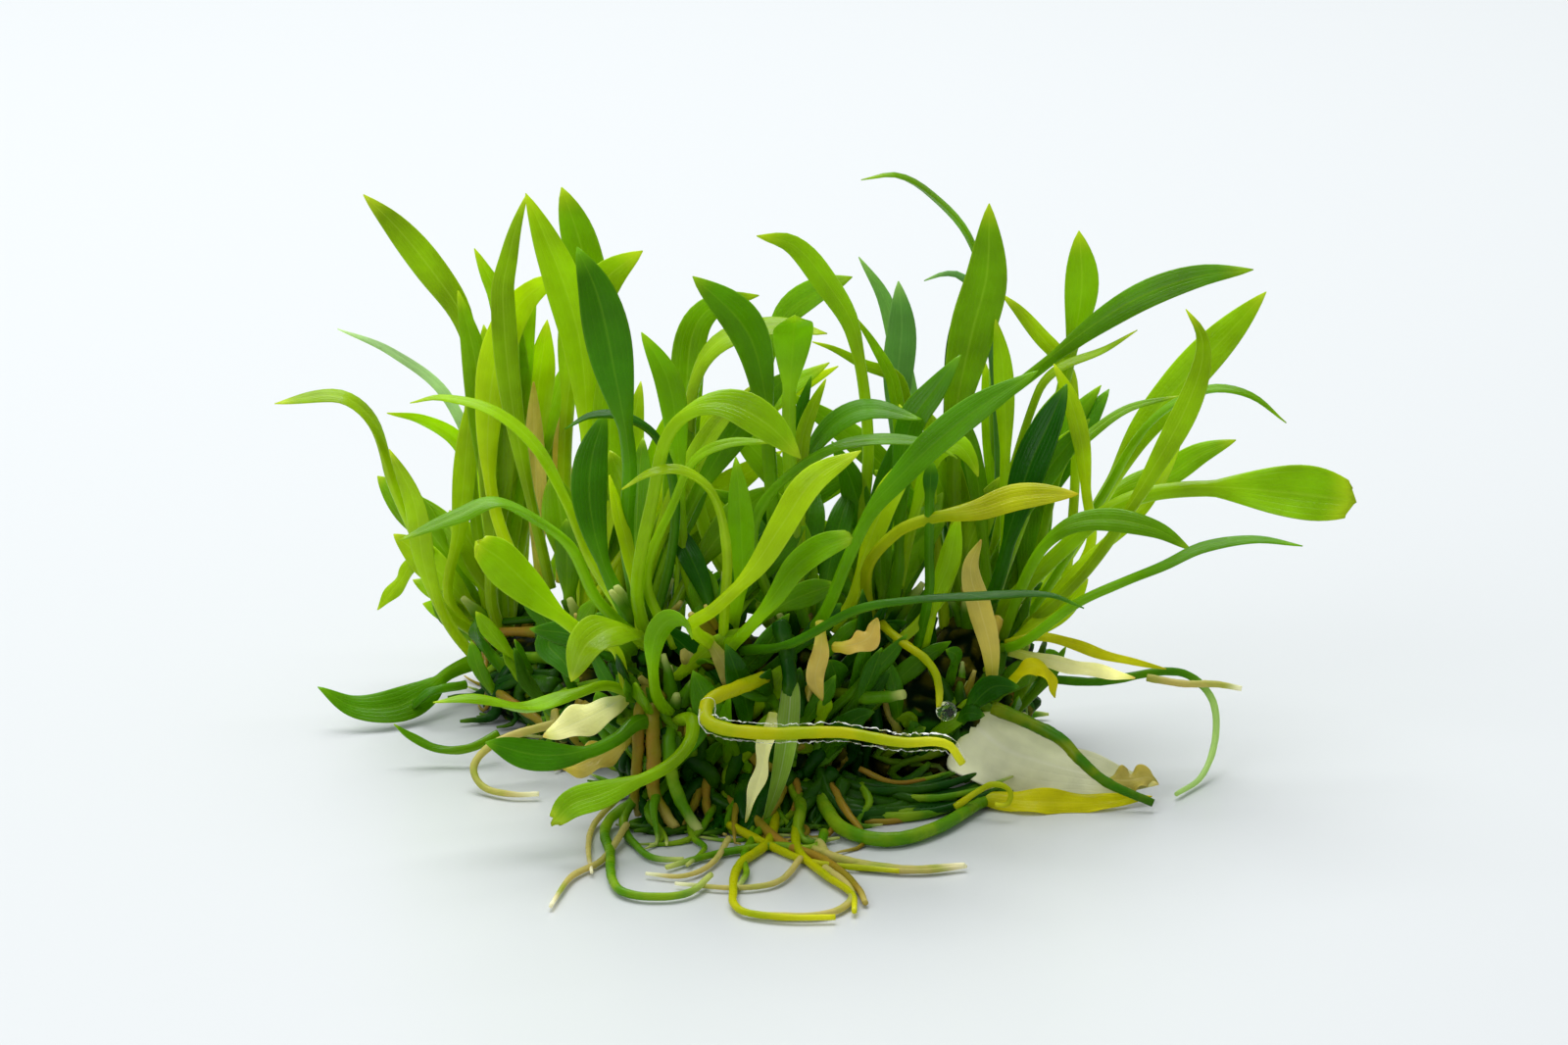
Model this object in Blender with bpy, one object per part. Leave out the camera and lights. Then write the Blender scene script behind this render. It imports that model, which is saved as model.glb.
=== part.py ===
"""Dwarf cryptocoryne: a clump of small water plants on one rootstock, with leaves and roots.

The clump rests on the flat underside of its rootstock and on its roots, and on a few low leaves.
Every way point below is in millimetres: right, back, up. The origin lies on the flat underside, under the
front crowns.
"""
import math

import bmesh
import bpy
from mathutils import Vector
from mathutils.geometry import interpolate_bezier

MM = 0.001

# Leaf sizes: the stalk grows with the blade's width, and the blade swells and narrows along its length
STALK_LEAST = 0.2
STALK_PER_WIDTH = 0.08
STALK_IN_BLADE = 0.6
BLADE_HALF_THICKNESS = 0.2
TIP_RADIUS = 0.06
SWELL_SKEW = 1.25
SWELL_FULLNESS = 0.85
FOLD = 0.18
GAP_TO_CROWN = 0.3
LEAF_SIDES = 6
LEAF_RINGS = 10
LEAF_PATH_STEPS = 6

# Share of the blade that is left on leaves with a torn or blunt end
TORN = {
    "leaf_right_spoon": 0.8,
    "leaf_front_blunt": 0.86,
    "leaf_left_round": 0.86,
    "leaf_low_curl": 0.86,
}

# Root sizes: the share of its radius that a root keeps at its tip
ROOT_END = 0.55
ROOT_PATH_STEPS = 3

# Rootstock faces, and the block below the surface that cuts it flat
LUMP_SIDES = 10
LUMP_RINGS = 7
CUTTER_WIDTH = 100
CUTTER_DEPTH = 20

# Surface finish
LEAF_ROUGHNESS = 0.35
ROOT_ROUGHNESS = 0.4
STOCK_ROUGHNESS = 0.7
SHARP_ANGLE = 60

# Where a blade's upper side looks
FRONT = (0.0, -1.0, 0.2)
FRONT_LEFT = (-0.5, -0.8, 0.4)
FRONT_RIGHT = (0.5, -0.8, 0.4)
FRONT_UP = (0.0, -0.9, 0.45)
SLANT = (0.0, -0.7, 0.7)
SKY = (0.0, -0.3, 1.0)
REAR_SKY = (0.0, 0.5, 0.9)

# Surface colours
COLOURS = {
    "dark": (0.05, 0.19, 0.001),
    "mid": (0.15, 0.35, 0.001),
    "lime": (0.31, 0.50, 0.002),
    "yellow": (0.50, 0.50, 0.006),
    "pale": (0.72, 0.72, 0.36),
}
BROWN = (0.07, 0.07, 0.01)

# Crowns, where leaves leave the rootstock: centre and radius
CROWNS = {
    "left": ((-7.5, 0.8, 8.6), 2.1),
    "front": ((-3.4, -0.6, 8.8), 2.1),
    "middle": ((0.8, 1.8, 7.9), 2.3),
    "centre": ((5.2, 5.5, 6.9), 2.4),
    "right": ((10.6, 7.5, 6.4), 2.5),
    "corner": ((12.4, 13.0, 4.2), 2.3),
    "back": ((-11.0, 12.0, 4.4), 2.3),
    "rear": ((-16.2, 20.0, 2.6), 2.2),
    "side": ((9.8, 2.4, 4.0), 1.6),
    "low": ((-6.0, -2.4, 5.4), 1.8),
}

# Lumps of the rootstock: centre and radii
LUMPS = (
    ((-3.0, 2.1, 3.6), (7.2, 5.3, 5.6)),
    ((6.6, 6.2, 3.2), (7.0, 4.8, 4.6)),
    ((11.2, 11.4, 2.4), (3.4, 4.4, 3.2)),
    ((-9.4, 9.6, 2.2), (4.6, 5.4, 3.2)),
    ((-13.8, 16.4, 1.8), (4.0, 5.0, 2.8)),
)

# Leaves: name, crown, green, blade width, where the blade starts, side its face looks to, way points
LEAVES = (
    ("leaf_left_tall", "left", "mid", 2.6, 0.56, FRONT,
     ((-8.6, -0.8, 15), (-8.4, -2.6, 20.4), (-9.2, -3.8, 26), (-10, -4, 29.9), (-11.1, -3.5, 32.4))),
    ("leaf_left_small", "front", "lime", 1.6, 0.55, FRONT,
     ((-5.4, 1.2, 13), (-5.9, 2, 20.7), (-6.4, 2, 23.7), (-7.8, 2, 26.3))),
    ("leaf_middle_blade", "middle", "mid", 2.5, 0.55, FRONT_RIGHT,
     ((-0.4, 3.6, 13), (-0.7, 4, 17), (-1.1, 4, 21.6), (-2.1, 4, 25.8), (-5, 3, 29.2))),
    ("leaf_middle_hook", "centre", "lime", 1.7, 0.60, FRONT_RIGHT,
     ((4.4, 6.6, 13), (4.7, 7, 18.8), (3.8, 6.5, 25.2), (2.2, 6, 28.2), (0.4, 5.5, 30.4), (-1.5, 5, 31))),
    ("leaf_middle_behind", "centre", "mid", 1.9, 0.70, FRONT_LEFT,
     ((0.6, 8.6, 12), (-0.9, 9.6, 17), (-1, 9.8, 21.9), (0, 9.2, 25.3), (1.9, 8.6, 27),
      (3.8, 8.2, 27.9))),
    ("leaf_middle_spade", "middle", "mid", 2.3, 0.70, REAR_SKY,
     ((0.7, 2.2, 13), (0.3, 2, 19), (0.3, 2, 23), (0.5, 1, 26.3), (0.6, -1.4, 28.1))),
    ("leaf_middle_bow", "middle", "lime", 2.4, 0.60, SKY,
     ((-3.8, 5.4, 12.6), (-5.2, 6.2, 18), (-5, 6.6, 22), (-3.6, 6.7, 24.4), (-0.6, 6.6, 25.4),
      (2.4, 6.4, 25.1))),
    ("leaf_front_spoon", "left", "lime", 2.1, 0.68, SLANT,
     ((-8, -3.4, 13.5), (-7, -5, 19.3), (-6.2, -5.6, 22.6), (-4.7, -6, 24.1), (-2.9, -6.5, 24.4),
      (-0.8, -7.4, 23.5), (0.9, -8, 21.9))),
    ("leaf_front_curl", "front", "lime", 0.95, 0.50, SKY,
     ((-3.2, -4, 12.8), (-3.1, -5, 16), (-3.8, -5.5, 19.2), (-5.3, -6, 20.6), (-7.1, -6.6, 20.7),
      (-8.7, -7, 19.9))),
    ("leaf_front_upright", "front", "mid", 1.5, 0.28, FRONT,
     ((-2.3, -2.6, 13.4), (-2.3, -3.4, 16), (-2.4, -4.2, 18.4), (-2.6, -4.8, 21.1))),
    ("leaf_front_bright", "front", "lime", 1.95, 0.50, FRONT_LEFT,
     ((-5, -5.4, 11.8), (-3.7, -7.5, 13.4), (-1.6, -9, 16), (0, -9.6, 18.7), (1.7, -9.6, 21.2),
      (4.1, -9, 22.6))),
    ("leaf_front_blunt", "front", "mid", 1.7, 0.50, FRONT_LEFT,
     ((-2.1, -6, 11.6), (-0.5, -7.5, 14), (0.6, -8, 15.8), (2.1, -8.5, 17.1), (3.6, -8.5, 17.7))),
    ("leaf_front_arch", "middle", "mid", 1.3, 0.45, SKY,
     ((-1.6, 0, 14), (-1.5, -0.2, 16.4), (0, -0.4, 18.6), (2.7, -1, 20.5), (5.3, -1.5, 21.1),
      (8, -2, 21), (9.4, -2.5, 20.4))),
    ("leaf_front_sweep", "middle", "dark", 1.9, 0.45, FRONT_LEFT,
     ((2.4, -2, 11.8), (3.5, -3, 14.9), (4.8, -3.6, 17.8), (6.4, -4, 19.8), (8, -4.2, 21.5),
      (10.6, -4.2, 23.7), (13.7, -3.6, 25.6))),
    ("leaf_left_thread", "left", "dark", 0.9, 0.55, SKY,
     ((-6.2, 0.8, 14), (-6, 0.6, 17.6), (-6.9, 0, 20.8), (-8.5, -0.8, 22.2), (-10.4, -1.4, 22.5),
      (-11.9, -2, 21.9))),
    ("leaf_left_broad", "left", "dark", 2.1, 0.35, FRONT,
     ((-9.8, 2.6, 12.4), (-10.7, 3.6, 15.6), (-10.7, 4.3, 18.3), (-9.9, 5, 21))),
    ("leaf_left_bow", "left", "lime", 1.15, 0.40, SKY,
     ((-10.6, 5, 12), (-12.2, 6.3, 15.5), (-13.9, 7, 18.4), (-16.4, 7.5, 20.4), (-19.2, 8, 21),
      (-20.9, 8, 20.7))),
    ("leaf_left_arch", "left", "mid", 1.4, 0.45, SKY,
     ((-10.2, -2.6, 12.4), (-11.6, -4.8, 16.1), (-13.5, -6, 18), (-15.5, -7, 19.2), (-17.4, -8, 18.7),
      (-20.6, -9, 17.6))),
    ("leaf_left_round", "left", "lime", 2.6, 0.45, SLANT,
     ((-10.6, -1, 9.8), (-12.2, -1.6, 11.1), (-13.9, -2.1, 12.9), (-15.4, -2.6, 14.6),
      (-16.7, -3, 15.7))),
    ("leaf_low_short", "left", "lime", 2.5, 0.30, FRONT_LEFT,
     ((-8.2, -3.2, 10.6), (-9.3, -5, 11.4), (-10.7, -6.3, 10.9), (-11.5, -7.3, 9.2))),
    ("leaf_low_folded", "low", "mid", 1.3, 0.45, FRONT,
     ((-6.9, -5, 7.6), (-7.1, -6.2, 9.6), (-6.9, -7.2, 11.8), (-6.1, -8, 13), (-5.3, -8.6, 13),
      (-4.9, -9, 12.1))),
    ("leaf_low_wavy", "low", "lime", 1.2, 0.30, SKY,
     ((-9.4, -3.4, 7.7), (-11.4, -5, 7.8), (-13.8, -6.5, 7.4), (-16.4, -7.5, 8.3), (-18.9, -8.5, 8.4))),
    ("leaf_low_dark", "low", "dark", 2.1, 0.50, SLANT,
     ((-8, -4.6, 6), (-9.1, -5.6, 5.4), (-10.8, -6.8, 5), (-13.4, -8, 5.2), (-16.1, -9, 6.3))),
    ("leaf_low_curl", "low", "lime", 1.9, 0.60, SLANT,
     ((-5, -5.4, 6.4), (-5.1, -6.6, 5.6), (-6, -7.8, 4.8), (-7.3, -8.8, 4.3), (-8.5, -9.4, 4),
      (-9.9, -10, 3.6), (-11.4, -10.4, 3.2), (-12.4, -11, 2.4))),
    ("leaf_right_needle", "front", "dark", 0.8, 0.45, SKY,
     ((0.2, -3.8, 10.2), (3.9, -5.2, 12.6), (6.9, -6, 13.4), (10.6, -7, 13.9), (14.2, -8, 14.3),
      (16.1, -8.5, 13.7))),
    ("leaf_right_short", "centre", "lime", 1.3, 0.45, FRONT_LEFT,
     ((6, 1.8, 8.4), (7.4, 2, 9.6), (8.6, 2.6, 11), (9.3, 3.2, 13.6), (9.5, 3.4, 15.6))),
    ("leaf_right_yellow", "centre", "yellow", 1.7, 0.60, SLANT,
     ((4.6, 2.4, 12.6), (6.2, 1.6, 15), (8.1, 1, 16), (10.7, 0.2, 16.7), (12.9, 0, 17.5),
      (16.1, -0.8, 17.9))),
    ("leaf_right_spoon", "right", "lime", 3.2, 0.62, FRONT_UP,
     ((13.2, 6.8, 10), (15.6, 6.5, 12.6), (18.1, 6, 15), (20.4, 6, 16), (24.1, 6, 16.3),
      (28, 5.4, 16.2), (31.6, 4.5, 16))),
    ("leaf_right_low", "right", "dark", 1.1, 0.50, SKY,
     ((13.2, 2.4, 8.4), (16.2, 1.4, 11), (18.9, 1, 12.4), (21, 0.2, 13.5), (23.1, 0, 14.6),
      (25.8, -0.5, 15.2), (28.4, -1, 15))),
    ("leaf_right_wing", "right", "lime", 1.8, 0.60, FRONT_LEFT,
     ((9.2, 10.8, 13), (9.4, 11.9, 18), (12.6, 12, 20.2), (15.2, 11.6, 22.4), (17.6, 11, 24.5),
      (20.3, 10.5, 26.3), (23.3, 10, 27.5), (26.2, 9.5, 28))),
    ("leaf_right_crook", "corner", "mid", 0.9, 0.62, SKY,
     ((12.6, 14.4, 12), (12, 14, 17.4), (11.7, 13.6, 24.7), (10.4, 13, 29.1), (8.2, 12, 31.8),
      (6.3, 11.2, 33), (4.3, 10.5, 32.9))),
    ("leaf_right_tall", "right", "lime", 2.7, 0.45, FRONT,
     ((9.7, 8.2, 12), (9.6, 8.6, 19.5), (10.5, 9, 24.5), (11.3, 9, 27.8), (11.4, 9, 31.9))),
    ("leaf_right_second", "right", "lime", 2.1, 0.55, FRONT,
     ((13, 10, 12), (15, 12, 17.4), (16.4, 13, 23.2), (16.8, 13, 26.3), (16.6, 13, 29.4))),
    ("leaf_right_far", "corner", "lime", 2.6, 0.45, FRONT_LEFT,
     ((16.3, 15, 9.8), (18.6, 16, 13.4), (20.5, 16.8, 16.6), (22.6, 17, 19.2), (25, 17, 21.9),
      (27.5, 16.5, 25))),
    ("leaf_right_curl", "right", "lime", 1.6, 0.50, FRONT_LEFT,
     ((13.4, 5.2, 8.4), (16.4, 4.6, 11.4), (18.6, 4.2, 14.6), (20.7, 4, 18.3), (22.2, 4, 21.3),
      (23.1, 4, 24.1), (23, 4, 25.7), (22.1, 4, 27.1))),
    ("leaf_right_hook", "corner", "mid", 0.8, 0.55, SKY,
     ((15.4, 12.8, 9), (18.2, 12.8, 14), (20.8, 12.8, 18.3), (23.8, 12.6, 20.2), (26.3, 12, 20.1),
      (28.4, 11.5, 18.6))),
    ("leaf_right_back", "corner", "lime", 1.7, 0.55, FRONT_LEFT,
     ((14.8, 16.6, 7.6), (17.5, 18, 11), (19.8, 18.6, 12.8), (22.1, 18.8, 13.5), (24.1, 18.8, 14.8),
      (26.1, 18.5, 15.7))),
    ("leaf_right_dark", "right", "mid", 2.4, 0.40, FRONT_LEFT,
     ((12, 6, 11), (12.9, 6.2, 14.4), (13.8, 6.8, 17.4), (14.9, 7.4, 19.8), (15.8, 8, 21.8))),
    ("leaf_centre_dark", "centre", "dark", 1.9, 0.45, FRONT_LEFT,
     ((6.4, 4.4, 12), (6.5, 4.8, 16.3), (7.1, 5.2, 20.2), (8.4, 5.6, 22.1), (9.8, 6, 24))),
    ("leaf_centre_back", "centre", "dark", 1.9, 0.60, FRONT,
     ((6.2, 11, 10), (6.4, 14.4, 14.6), (6.5, 15.4, 20.4), (6.7, 15.6, 23.2), (6.5, 15.4, 25.9))),
    ("leaf_rear_left", "rear", "lime", 1.9, 0.60, FRONT,
     ((-17.8, 20.6, 9), (-18.3, 21, 15), (-18.1, 21, 19.7), (-18.7, 21, 22.6), (-20.4, 21.5, 25.1),
      (-22.4, 22, 27.5), (-24.3, 22.5, 29.3))),
    ("leaf_rear_tall", "back", "lime", 2.3, 0.45, FRONT,
     ((-11.4, 13.4, 11), (-11.2, 14, 17), (-11.6, 14.5, 22.5), (-12.5, 15, 25.8), (-13.6, 15, 28.7),
      (-14.6, 15, 31.1))),
    ("leaf_rear_round", "rear", "lime", 2.1, 0.55, FRONT,
     ((-13, 22, 8), (-11.2, 23, 14.4), (-10.7, 23, 21.5), (-11.8, 23.5, 26.1), (-12.9, 24, 29.4))),
    ("leaf_rear_right", "back", "lime", 2.6, 0.60, FRONT,
     ((-12.4, 16.4, 8), (-12.7, 18.6, 14), (-12.2, 19, 20), (-11.4, 19, 23.4), (-10, 19, 25.4),
      (-8.1, 19, 26.8))),
    ("leaf_rear_arch", "back", "lime", 2.1, 0.45, FRONT,
     ((-14.6, 15.2, 7.6), (-16.8, 17, 12.6), (-16.8, 17.4, 19.2), (-15.6, 17.2, 23.3),
      (-13.8, 17, 25.3), (-11.8, 17, 25.6))),
    ("leaf_rear_reach", "rear", "lime", 1.5, 0.60, SKY,
     ((-19.8, 18, 5.7), (-21, 17.5, 9.4), (-22.5, 17, 13.4), (-23.4, 17, 16.6), (-24.5, 17, 18.1),
      (-25.9, 17, 18.7), (-29.2, 16.5, 18.4))),
    ("leaf_rear_pale", "rear", "pale", 1.0, 0.40, SKY,
     ((-17.6, 25, 6), (-18.2, 28, 11), (-20.1, 29, 15.5), (-23.3, 29.5, 18.1), (-26.5, 30, 19.4))),
    ("leaf_rear_low", "rear", "dark", 2.2, 0.35, SLANT,
     ((-19.4, 17.4, 2), (-20.8, 15.2, 1.4), (-22.6, 13.6, 1), (-24.8, 13, 1.3), (-26.8, 13, 2.5))),
    ("leaf_dead_right", "side", "pale", 3.4, 0.05, SLANT,
     ((12.2, 1.2, 2.8), (14.6, 0.8, 2), (17.6, 0.2, 1.5), (20.8, -0.2, 1.2))),
)

# Roots and runners: name, colour, radius, way points
ROOTS = (
    ("root_bright", "yellow", 0.4,
     ((-1.1, -4.2, 8.4), (-2.9, -8, 8.9), (-4.1, -9.5, 8.7), (-3.9, -11, 8), (-1, -12, 7.8),
      (3.1, -12.5, 8), (6.3, -13, 7.6), (8.6, -13.5, 7.7), (9.5, -13.5, 6.6))),
    ("root_left_hook", "lime", 0.3,
     ((-7.4, -3.4, 1.6), (-9.6, -5, 0.5), (-9.4, -10, 0.36), (-8.9, -15.6, 0.36), (-7.5, -17, 0.36),
      (-5.2, -16.6, 0.36), (-3.9, -14, 0.5))),
    ("root_front_loop", "yellow", 0.28,
     ((-0.4, -3.6, 0.9), (-0.8, -8, 0.36), (-2.4, -12, 0.36), (-2.7, -16, 0.36), (-2.3, -19.2, 0.36),
      (0, -20.3, 0.36), (2.7, -20.3, 0.36))),
    ("root_front_return", "yellow", 0.26,
     ((0.9, -3.6, 0.9), (0.7, -9, 0.36), (2.2, -13.6, 0.36), (3.6, -16.6, 0.36), (3.7, -19.4, 0.36))),
    ("root_front_right", "pale", 0.26,
     ((1.9, -8.4, 0.4), (2.6, -10.6, 0.36), (6.3, -12.6, 0.36), (9.7, -12, 0.36))),
    ("runner_floor", "lime", 0.4,
     ((2, -3.2, 1.2), (3.2, -6.6, 0.6), (5.6, -8.2, 0.5), (8.3, -6.2, 0.5), (10.7, -2.2, 0.5),
      (12.6, 0.4, 0.5), (15.2, 1.2, 0.5), (19, 0.8, 0.4))),
    ("runner_right", "mid", 0.44,
     ((11.6, 1.6, 4.9), (13.6, 1, 4.2), (15.4, 0, 3.5), (16.3, -0.8, 2.7), (17.8, -1.6, 1.6),
      (20.4, -2, 0.5))),
    ("root_right_thin", "mid", 0.25,
     ((14, 5.6, 5.4), (17.6, 5.4, 5.2), (22.1, 6, 5.6), (24, 6, 4.2), (24.3, 5.2, 2.1),
      (23.4, 2.8, 0.5), (21.8, 0, 0.36))),
    ("root_left_loop", "pale", 0.25,
     ((-12.8, 4, 3.2), (-15.9, 3, 2.5), (-17.3, 2, 1.4), (-16.8, 1, 0.5), (-15.2, 0, 0.36),
      (-13.6, 0, 0.36))),
)


def clear_scene():
    for thing in list(bpy.data.objects):
        bpy.data.objects.remove(thing, do_unlink=True)


def new_collection(name):
    group = bpy.data.collections.new(name)
    bpy.context.scene.collection.children.link(group)
    return group


def skin(name, colour, roughness):
    material = bpy.data.materials.new(name)
    material.use_nodes = True
    shader = material.node_tree.nodes["Principled BSDF"]
    shader.inputs["Base Color"].default_value = (*colour, 1.0)
    shader.inputs["Roughness"].default_value = roughness
    shader.inputs["Metallic"].default_value = 0.0
    return material


def smooth_path(knots, steps):
    """Points along a smooth curve through the knots, with handles set by each knot's neighbours."""
    knots = [Vector(knot) for knot in knots]
    handles = []
    for index, knot in enumerate(knots):
        before = knots[max(index - 1, 0)]
        after = knots[min(index + 1, len(knots) - 1)]
        handles.append((after - before).normalized())
    path = [knots[0]]
    for index in range(len(knots) - 1):
        reach = (knots[index + 1] - knots[index]).length / 3
        near = knots[index] + handles[index] * reach
        far = knots[index + 1] - handles[index + 1] * reach
        path += interpolate_bezier(knots[index], near, far, knots[index + 1], steps + 1)[1:]
    return path


def even_stations(path, count):
    """The same path, as count + 1 points that are evenly spaced along it."""
    lengths = [0.0]
    for before, after in zip(path, path[1:]):
        lengths.append(lengths[-1] + (after - before).length)
    stations = []
    span = 0
    for number in range(count + 1):
        target = lengths[-1] * number / count
        while span < len(path) - 2 and lengths[span + 1] < target:
            span += 1
        share = (target - lengths[span]) / (lengths[span + 1] - lengths[span])
        stations.append(path[span].lerp(path[span + 1], share))
    return stations


def leaf_frames(stations, look_at, faces):
    """Direction and normal at each station: the normal faces the given side at look_at, without twist."""
    count = len(stations)
    runs = []
    for index in range(count):
        before = stations[max(index - 1, 0)]
        after = stations[min(index + 1, count - 1)]
        runs.append((after - before).normalized())
    normals = [None] * count
    side = Vector(faces)
    normals[look_at] = (side - side.dot(runs[look_at]) * runs[look_at]).normalized()
    for order, step in ((range(look_at + 1, count), 1), (range(look_at - 1, -1, -1), -1)):
        for index in order:
            normal = normals[index - step].copy()
            normal.rotate(runs[index - step].rotation_difference(runs[index]))
            normals[index] = normal
    return runs, normals


def blade_section(along, width, blade_start, whole):
    """Half width, half thickness and swell of a leaf at a share of its length; a torn blade ends early."""
    radius = STALK_LEAST + STALK_PER_WIDTH * width
    if along <= blade_start:
        return radius, radius, 0.0
    share = whole * (along - blade_start) / (1 - blade_start)
    swell = math.sin(math.pi * share ** SWELL_SKEW) ** SWELL_FULLNESS
    stalk = radius * (1 - share)
    half_width = stalk + (width / 2 - radius * STALK_IN_BLADE) * swell + TIP_RADIUS * share
    half_thickness = stalk * (1 - share) + BLADE_HALF_THICKNESS * swell + TIP_RADIUS * share
    return half_width, half_thickness, swell


def make_leaf(name, crown, green, width, blade_start, faces, knots, group):
    """A six-sided stalk that opens into a folded blade, shaped from a cylinder along the leaf's curve."""
    centre, radius = CROWNS[crown]
    outward = (Vector(knots[0]) - Vector(centre)).normalized()
    foot = Vector(centre) + outward * (radius + GAP_TO_CROWN)
    path = smooth_path((foot, *knots), LEAF_PATH_STEPS)
    stations = even_stations(path, LEAF_RINGS)
    look_at = round((1 + blade_start) / 2 * LEAF_RINGS)
    runs, normals = leaf_frames(stations, look_at, faces)
    body = bmesh.new()
    bmesh.ops.create_cone(body, cap_ends=True, segments=LEAF_SIDES, radius1=1, radius2=1, depth=1)
    upright = [edge for edge in body.edges if abs(edge.verts[0].co.z - edge.verts[1].co.z) > 0.5]
    bmesh.ops.subdivide_edges(body, edges=upright, cuts=LEAF_RINGS - 1, use_grid_fill=True)
    for vert in body.verts:
        along = vert.co.z + 0.5
        ring = round(along * LEAF_RINGS)
        half_width, half_thickness, swell = blade_section(along, width, blade_start, TORN.get(name, 1))
        across = vert.co.y * half_width * MM
        lift = (vert.co.x * half_thickness + abs(vert.co.y) * half_width * FOLD * swell) * MM
        sideways = runs[ring].cross(normals[ring])
        vert.co = stations[ring] * MM + sideways * across + normals[ring] * lift
    mesh = bpy.data.meshes.new(name)
    body.to_mesh(mesh)
    body.free()
    mesh.materials.append(skin(name + "_skin", COLOURS[green], LEAF_ROUGHNESS))
    mesh.shade_smooth()
    mesh.set_sharp_from_angle(angle=math.radians(SHARP_ANGLE))
    group.objects.link(bpy.data.objects.new(name, mesh))


def make_root(name, colour, radius, knots, group):
    """A tapered round root, as a bevelled curve through its way points."""
    curve = bpy.data.curves.new(name, "CURVE")
    curve.dimensions = "3D"
    curve.bevel_depth = radius * MM
    curve.bevel_resolution = 1
    curve.use_fill_caps = True
    path = smooth_path(knots, ROOT_PATH_STEPS)
    spline = curve.splines.new("POLY")
    spline.points.add(len(path) - 1)
    for index, place in enumerate(path):
        spline.points[index].co = (*(place * MM), 1.0)
        spline.points[index].radius = 1 - (1 - ROOT_END) * (index / (len(path) - 1)) ** 2
    curve.materials.append(skin(name + "_skin", COLOURS[colour], ROOT_ROUGHNESS))
    group.objects.link(bpy.data.objects.new(name, curve))


def make_lump(name, centre, radii, group):
    """One ellipsoid, from a sphere."""
    body = bmesh.new()
    bmesh.ops.create_uvsphere(body, u_segments=LUMP_SIDES, v_segments=LUMP_RINGS, radius=1)
    for vert in body.verts:
        vert.co = Vector([(c + r * co) * MM for c, r, co in zip(centre, radii, vert.co)])
    mesh = bpy.data.meshes.new(name)
    body.to_mesh(mesh)
    body.free()
    lump = bpy.data.objects.new(name, mesh)
    lump.hide_render = True
    lump.display_type = "WIRE"
    group.objects.link(lump)
    return lump


def make_floor_cutter(group):
    """The block under the surface, which cuts the rootstock flat."""
    body = bmesh.new()
    bmesh.ops.create_cube(body, size=1)
    for vert in body.verts:
        deep = (vert.co.z - 0.5) * CUTTER_DEPTH
        vert.co = Vector((vert.co.x * CUTTER_WIDTH, vert.co.y * CUTTER_WIDTH, deep)) * MM
    mesh = bpy.data.meshes.new("under_surface")
    body.to_mesh(mesh)
    body.free()
    cutter = bpy.data.objects.new("under_surface", mesh)
    cutter.hide_render = True
    cutter.display_type = "WIRE"
    group.objects.link(cutter)
    return cutter


def make_rootstock(group, cutters):
    """The lumps and crowns joined in one solid, and cut flat underneath."""
    stock = make_lump("rootstock", *LUMPS[0], group)
    stock.hide_render = False
    stock.display_type = "TEXTURED"
    stock.data.materials.append(skin("rootstock_skin", BROWN, STOCK_ROUGHNESS))
    pieces = [make_lump("lump_%d" % number, *lump, cutters) for number, lump in enumerate(LUMPS[1:])]
    for name, (centre, radius) in CROWNS.items():
        pieces.append(make_lump("crown_" + name, centre, (radius, radius, radius), cutters))
    for piece in pieces:
        join = stock.modifiers.new(piece.name, "BOOLEAN")
        join.operation = "UNION"
        join.object = piece
    trim = stock.modifiers.new("under_surface", "BOOLEAN")
    trim.operation = "DIFFERENCE"
    trim.object = make_floor_cutter(cutters)


clear_scene()
plant = new_collection("dwarf_cryptocoryne")
cutters = new_collection("cutters")
make_rootstock(plant, cutters)
for leaf in LEAVES:
    make_leaf(*leaf, plant)
for root in ROOTS:
    make_root(*root, plant)
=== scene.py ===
import math
import random

import bpy
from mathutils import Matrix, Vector, noise
from mathutils.geometry import interpolate_bezier


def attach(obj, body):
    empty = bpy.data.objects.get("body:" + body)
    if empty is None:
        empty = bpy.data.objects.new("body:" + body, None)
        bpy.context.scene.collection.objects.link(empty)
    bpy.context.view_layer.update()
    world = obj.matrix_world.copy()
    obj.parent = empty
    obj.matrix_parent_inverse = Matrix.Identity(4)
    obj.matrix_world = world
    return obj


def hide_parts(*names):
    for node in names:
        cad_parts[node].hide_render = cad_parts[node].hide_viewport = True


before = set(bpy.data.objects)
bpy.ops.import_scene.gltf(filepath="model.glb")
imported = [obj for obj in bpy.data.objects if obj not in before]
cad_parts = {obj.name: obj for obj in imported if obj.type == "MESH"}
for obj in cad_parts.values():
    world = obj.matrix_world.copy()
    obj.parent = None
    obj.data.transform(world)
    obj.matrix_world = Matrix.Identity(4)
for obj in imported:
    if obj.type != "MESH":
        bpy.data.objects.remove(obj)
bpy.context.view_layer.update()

MM = 0.001


# Leaf blank
# Every leaf of the clump is one piece of soft green tissue: a round stalk that flattens into a narrow blade.
# They all start from this closed cylinder, cut into rings, which is copied and bent for each one.
LEAF_SIDES = 24
LEAF_RINGS = 48


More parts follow.
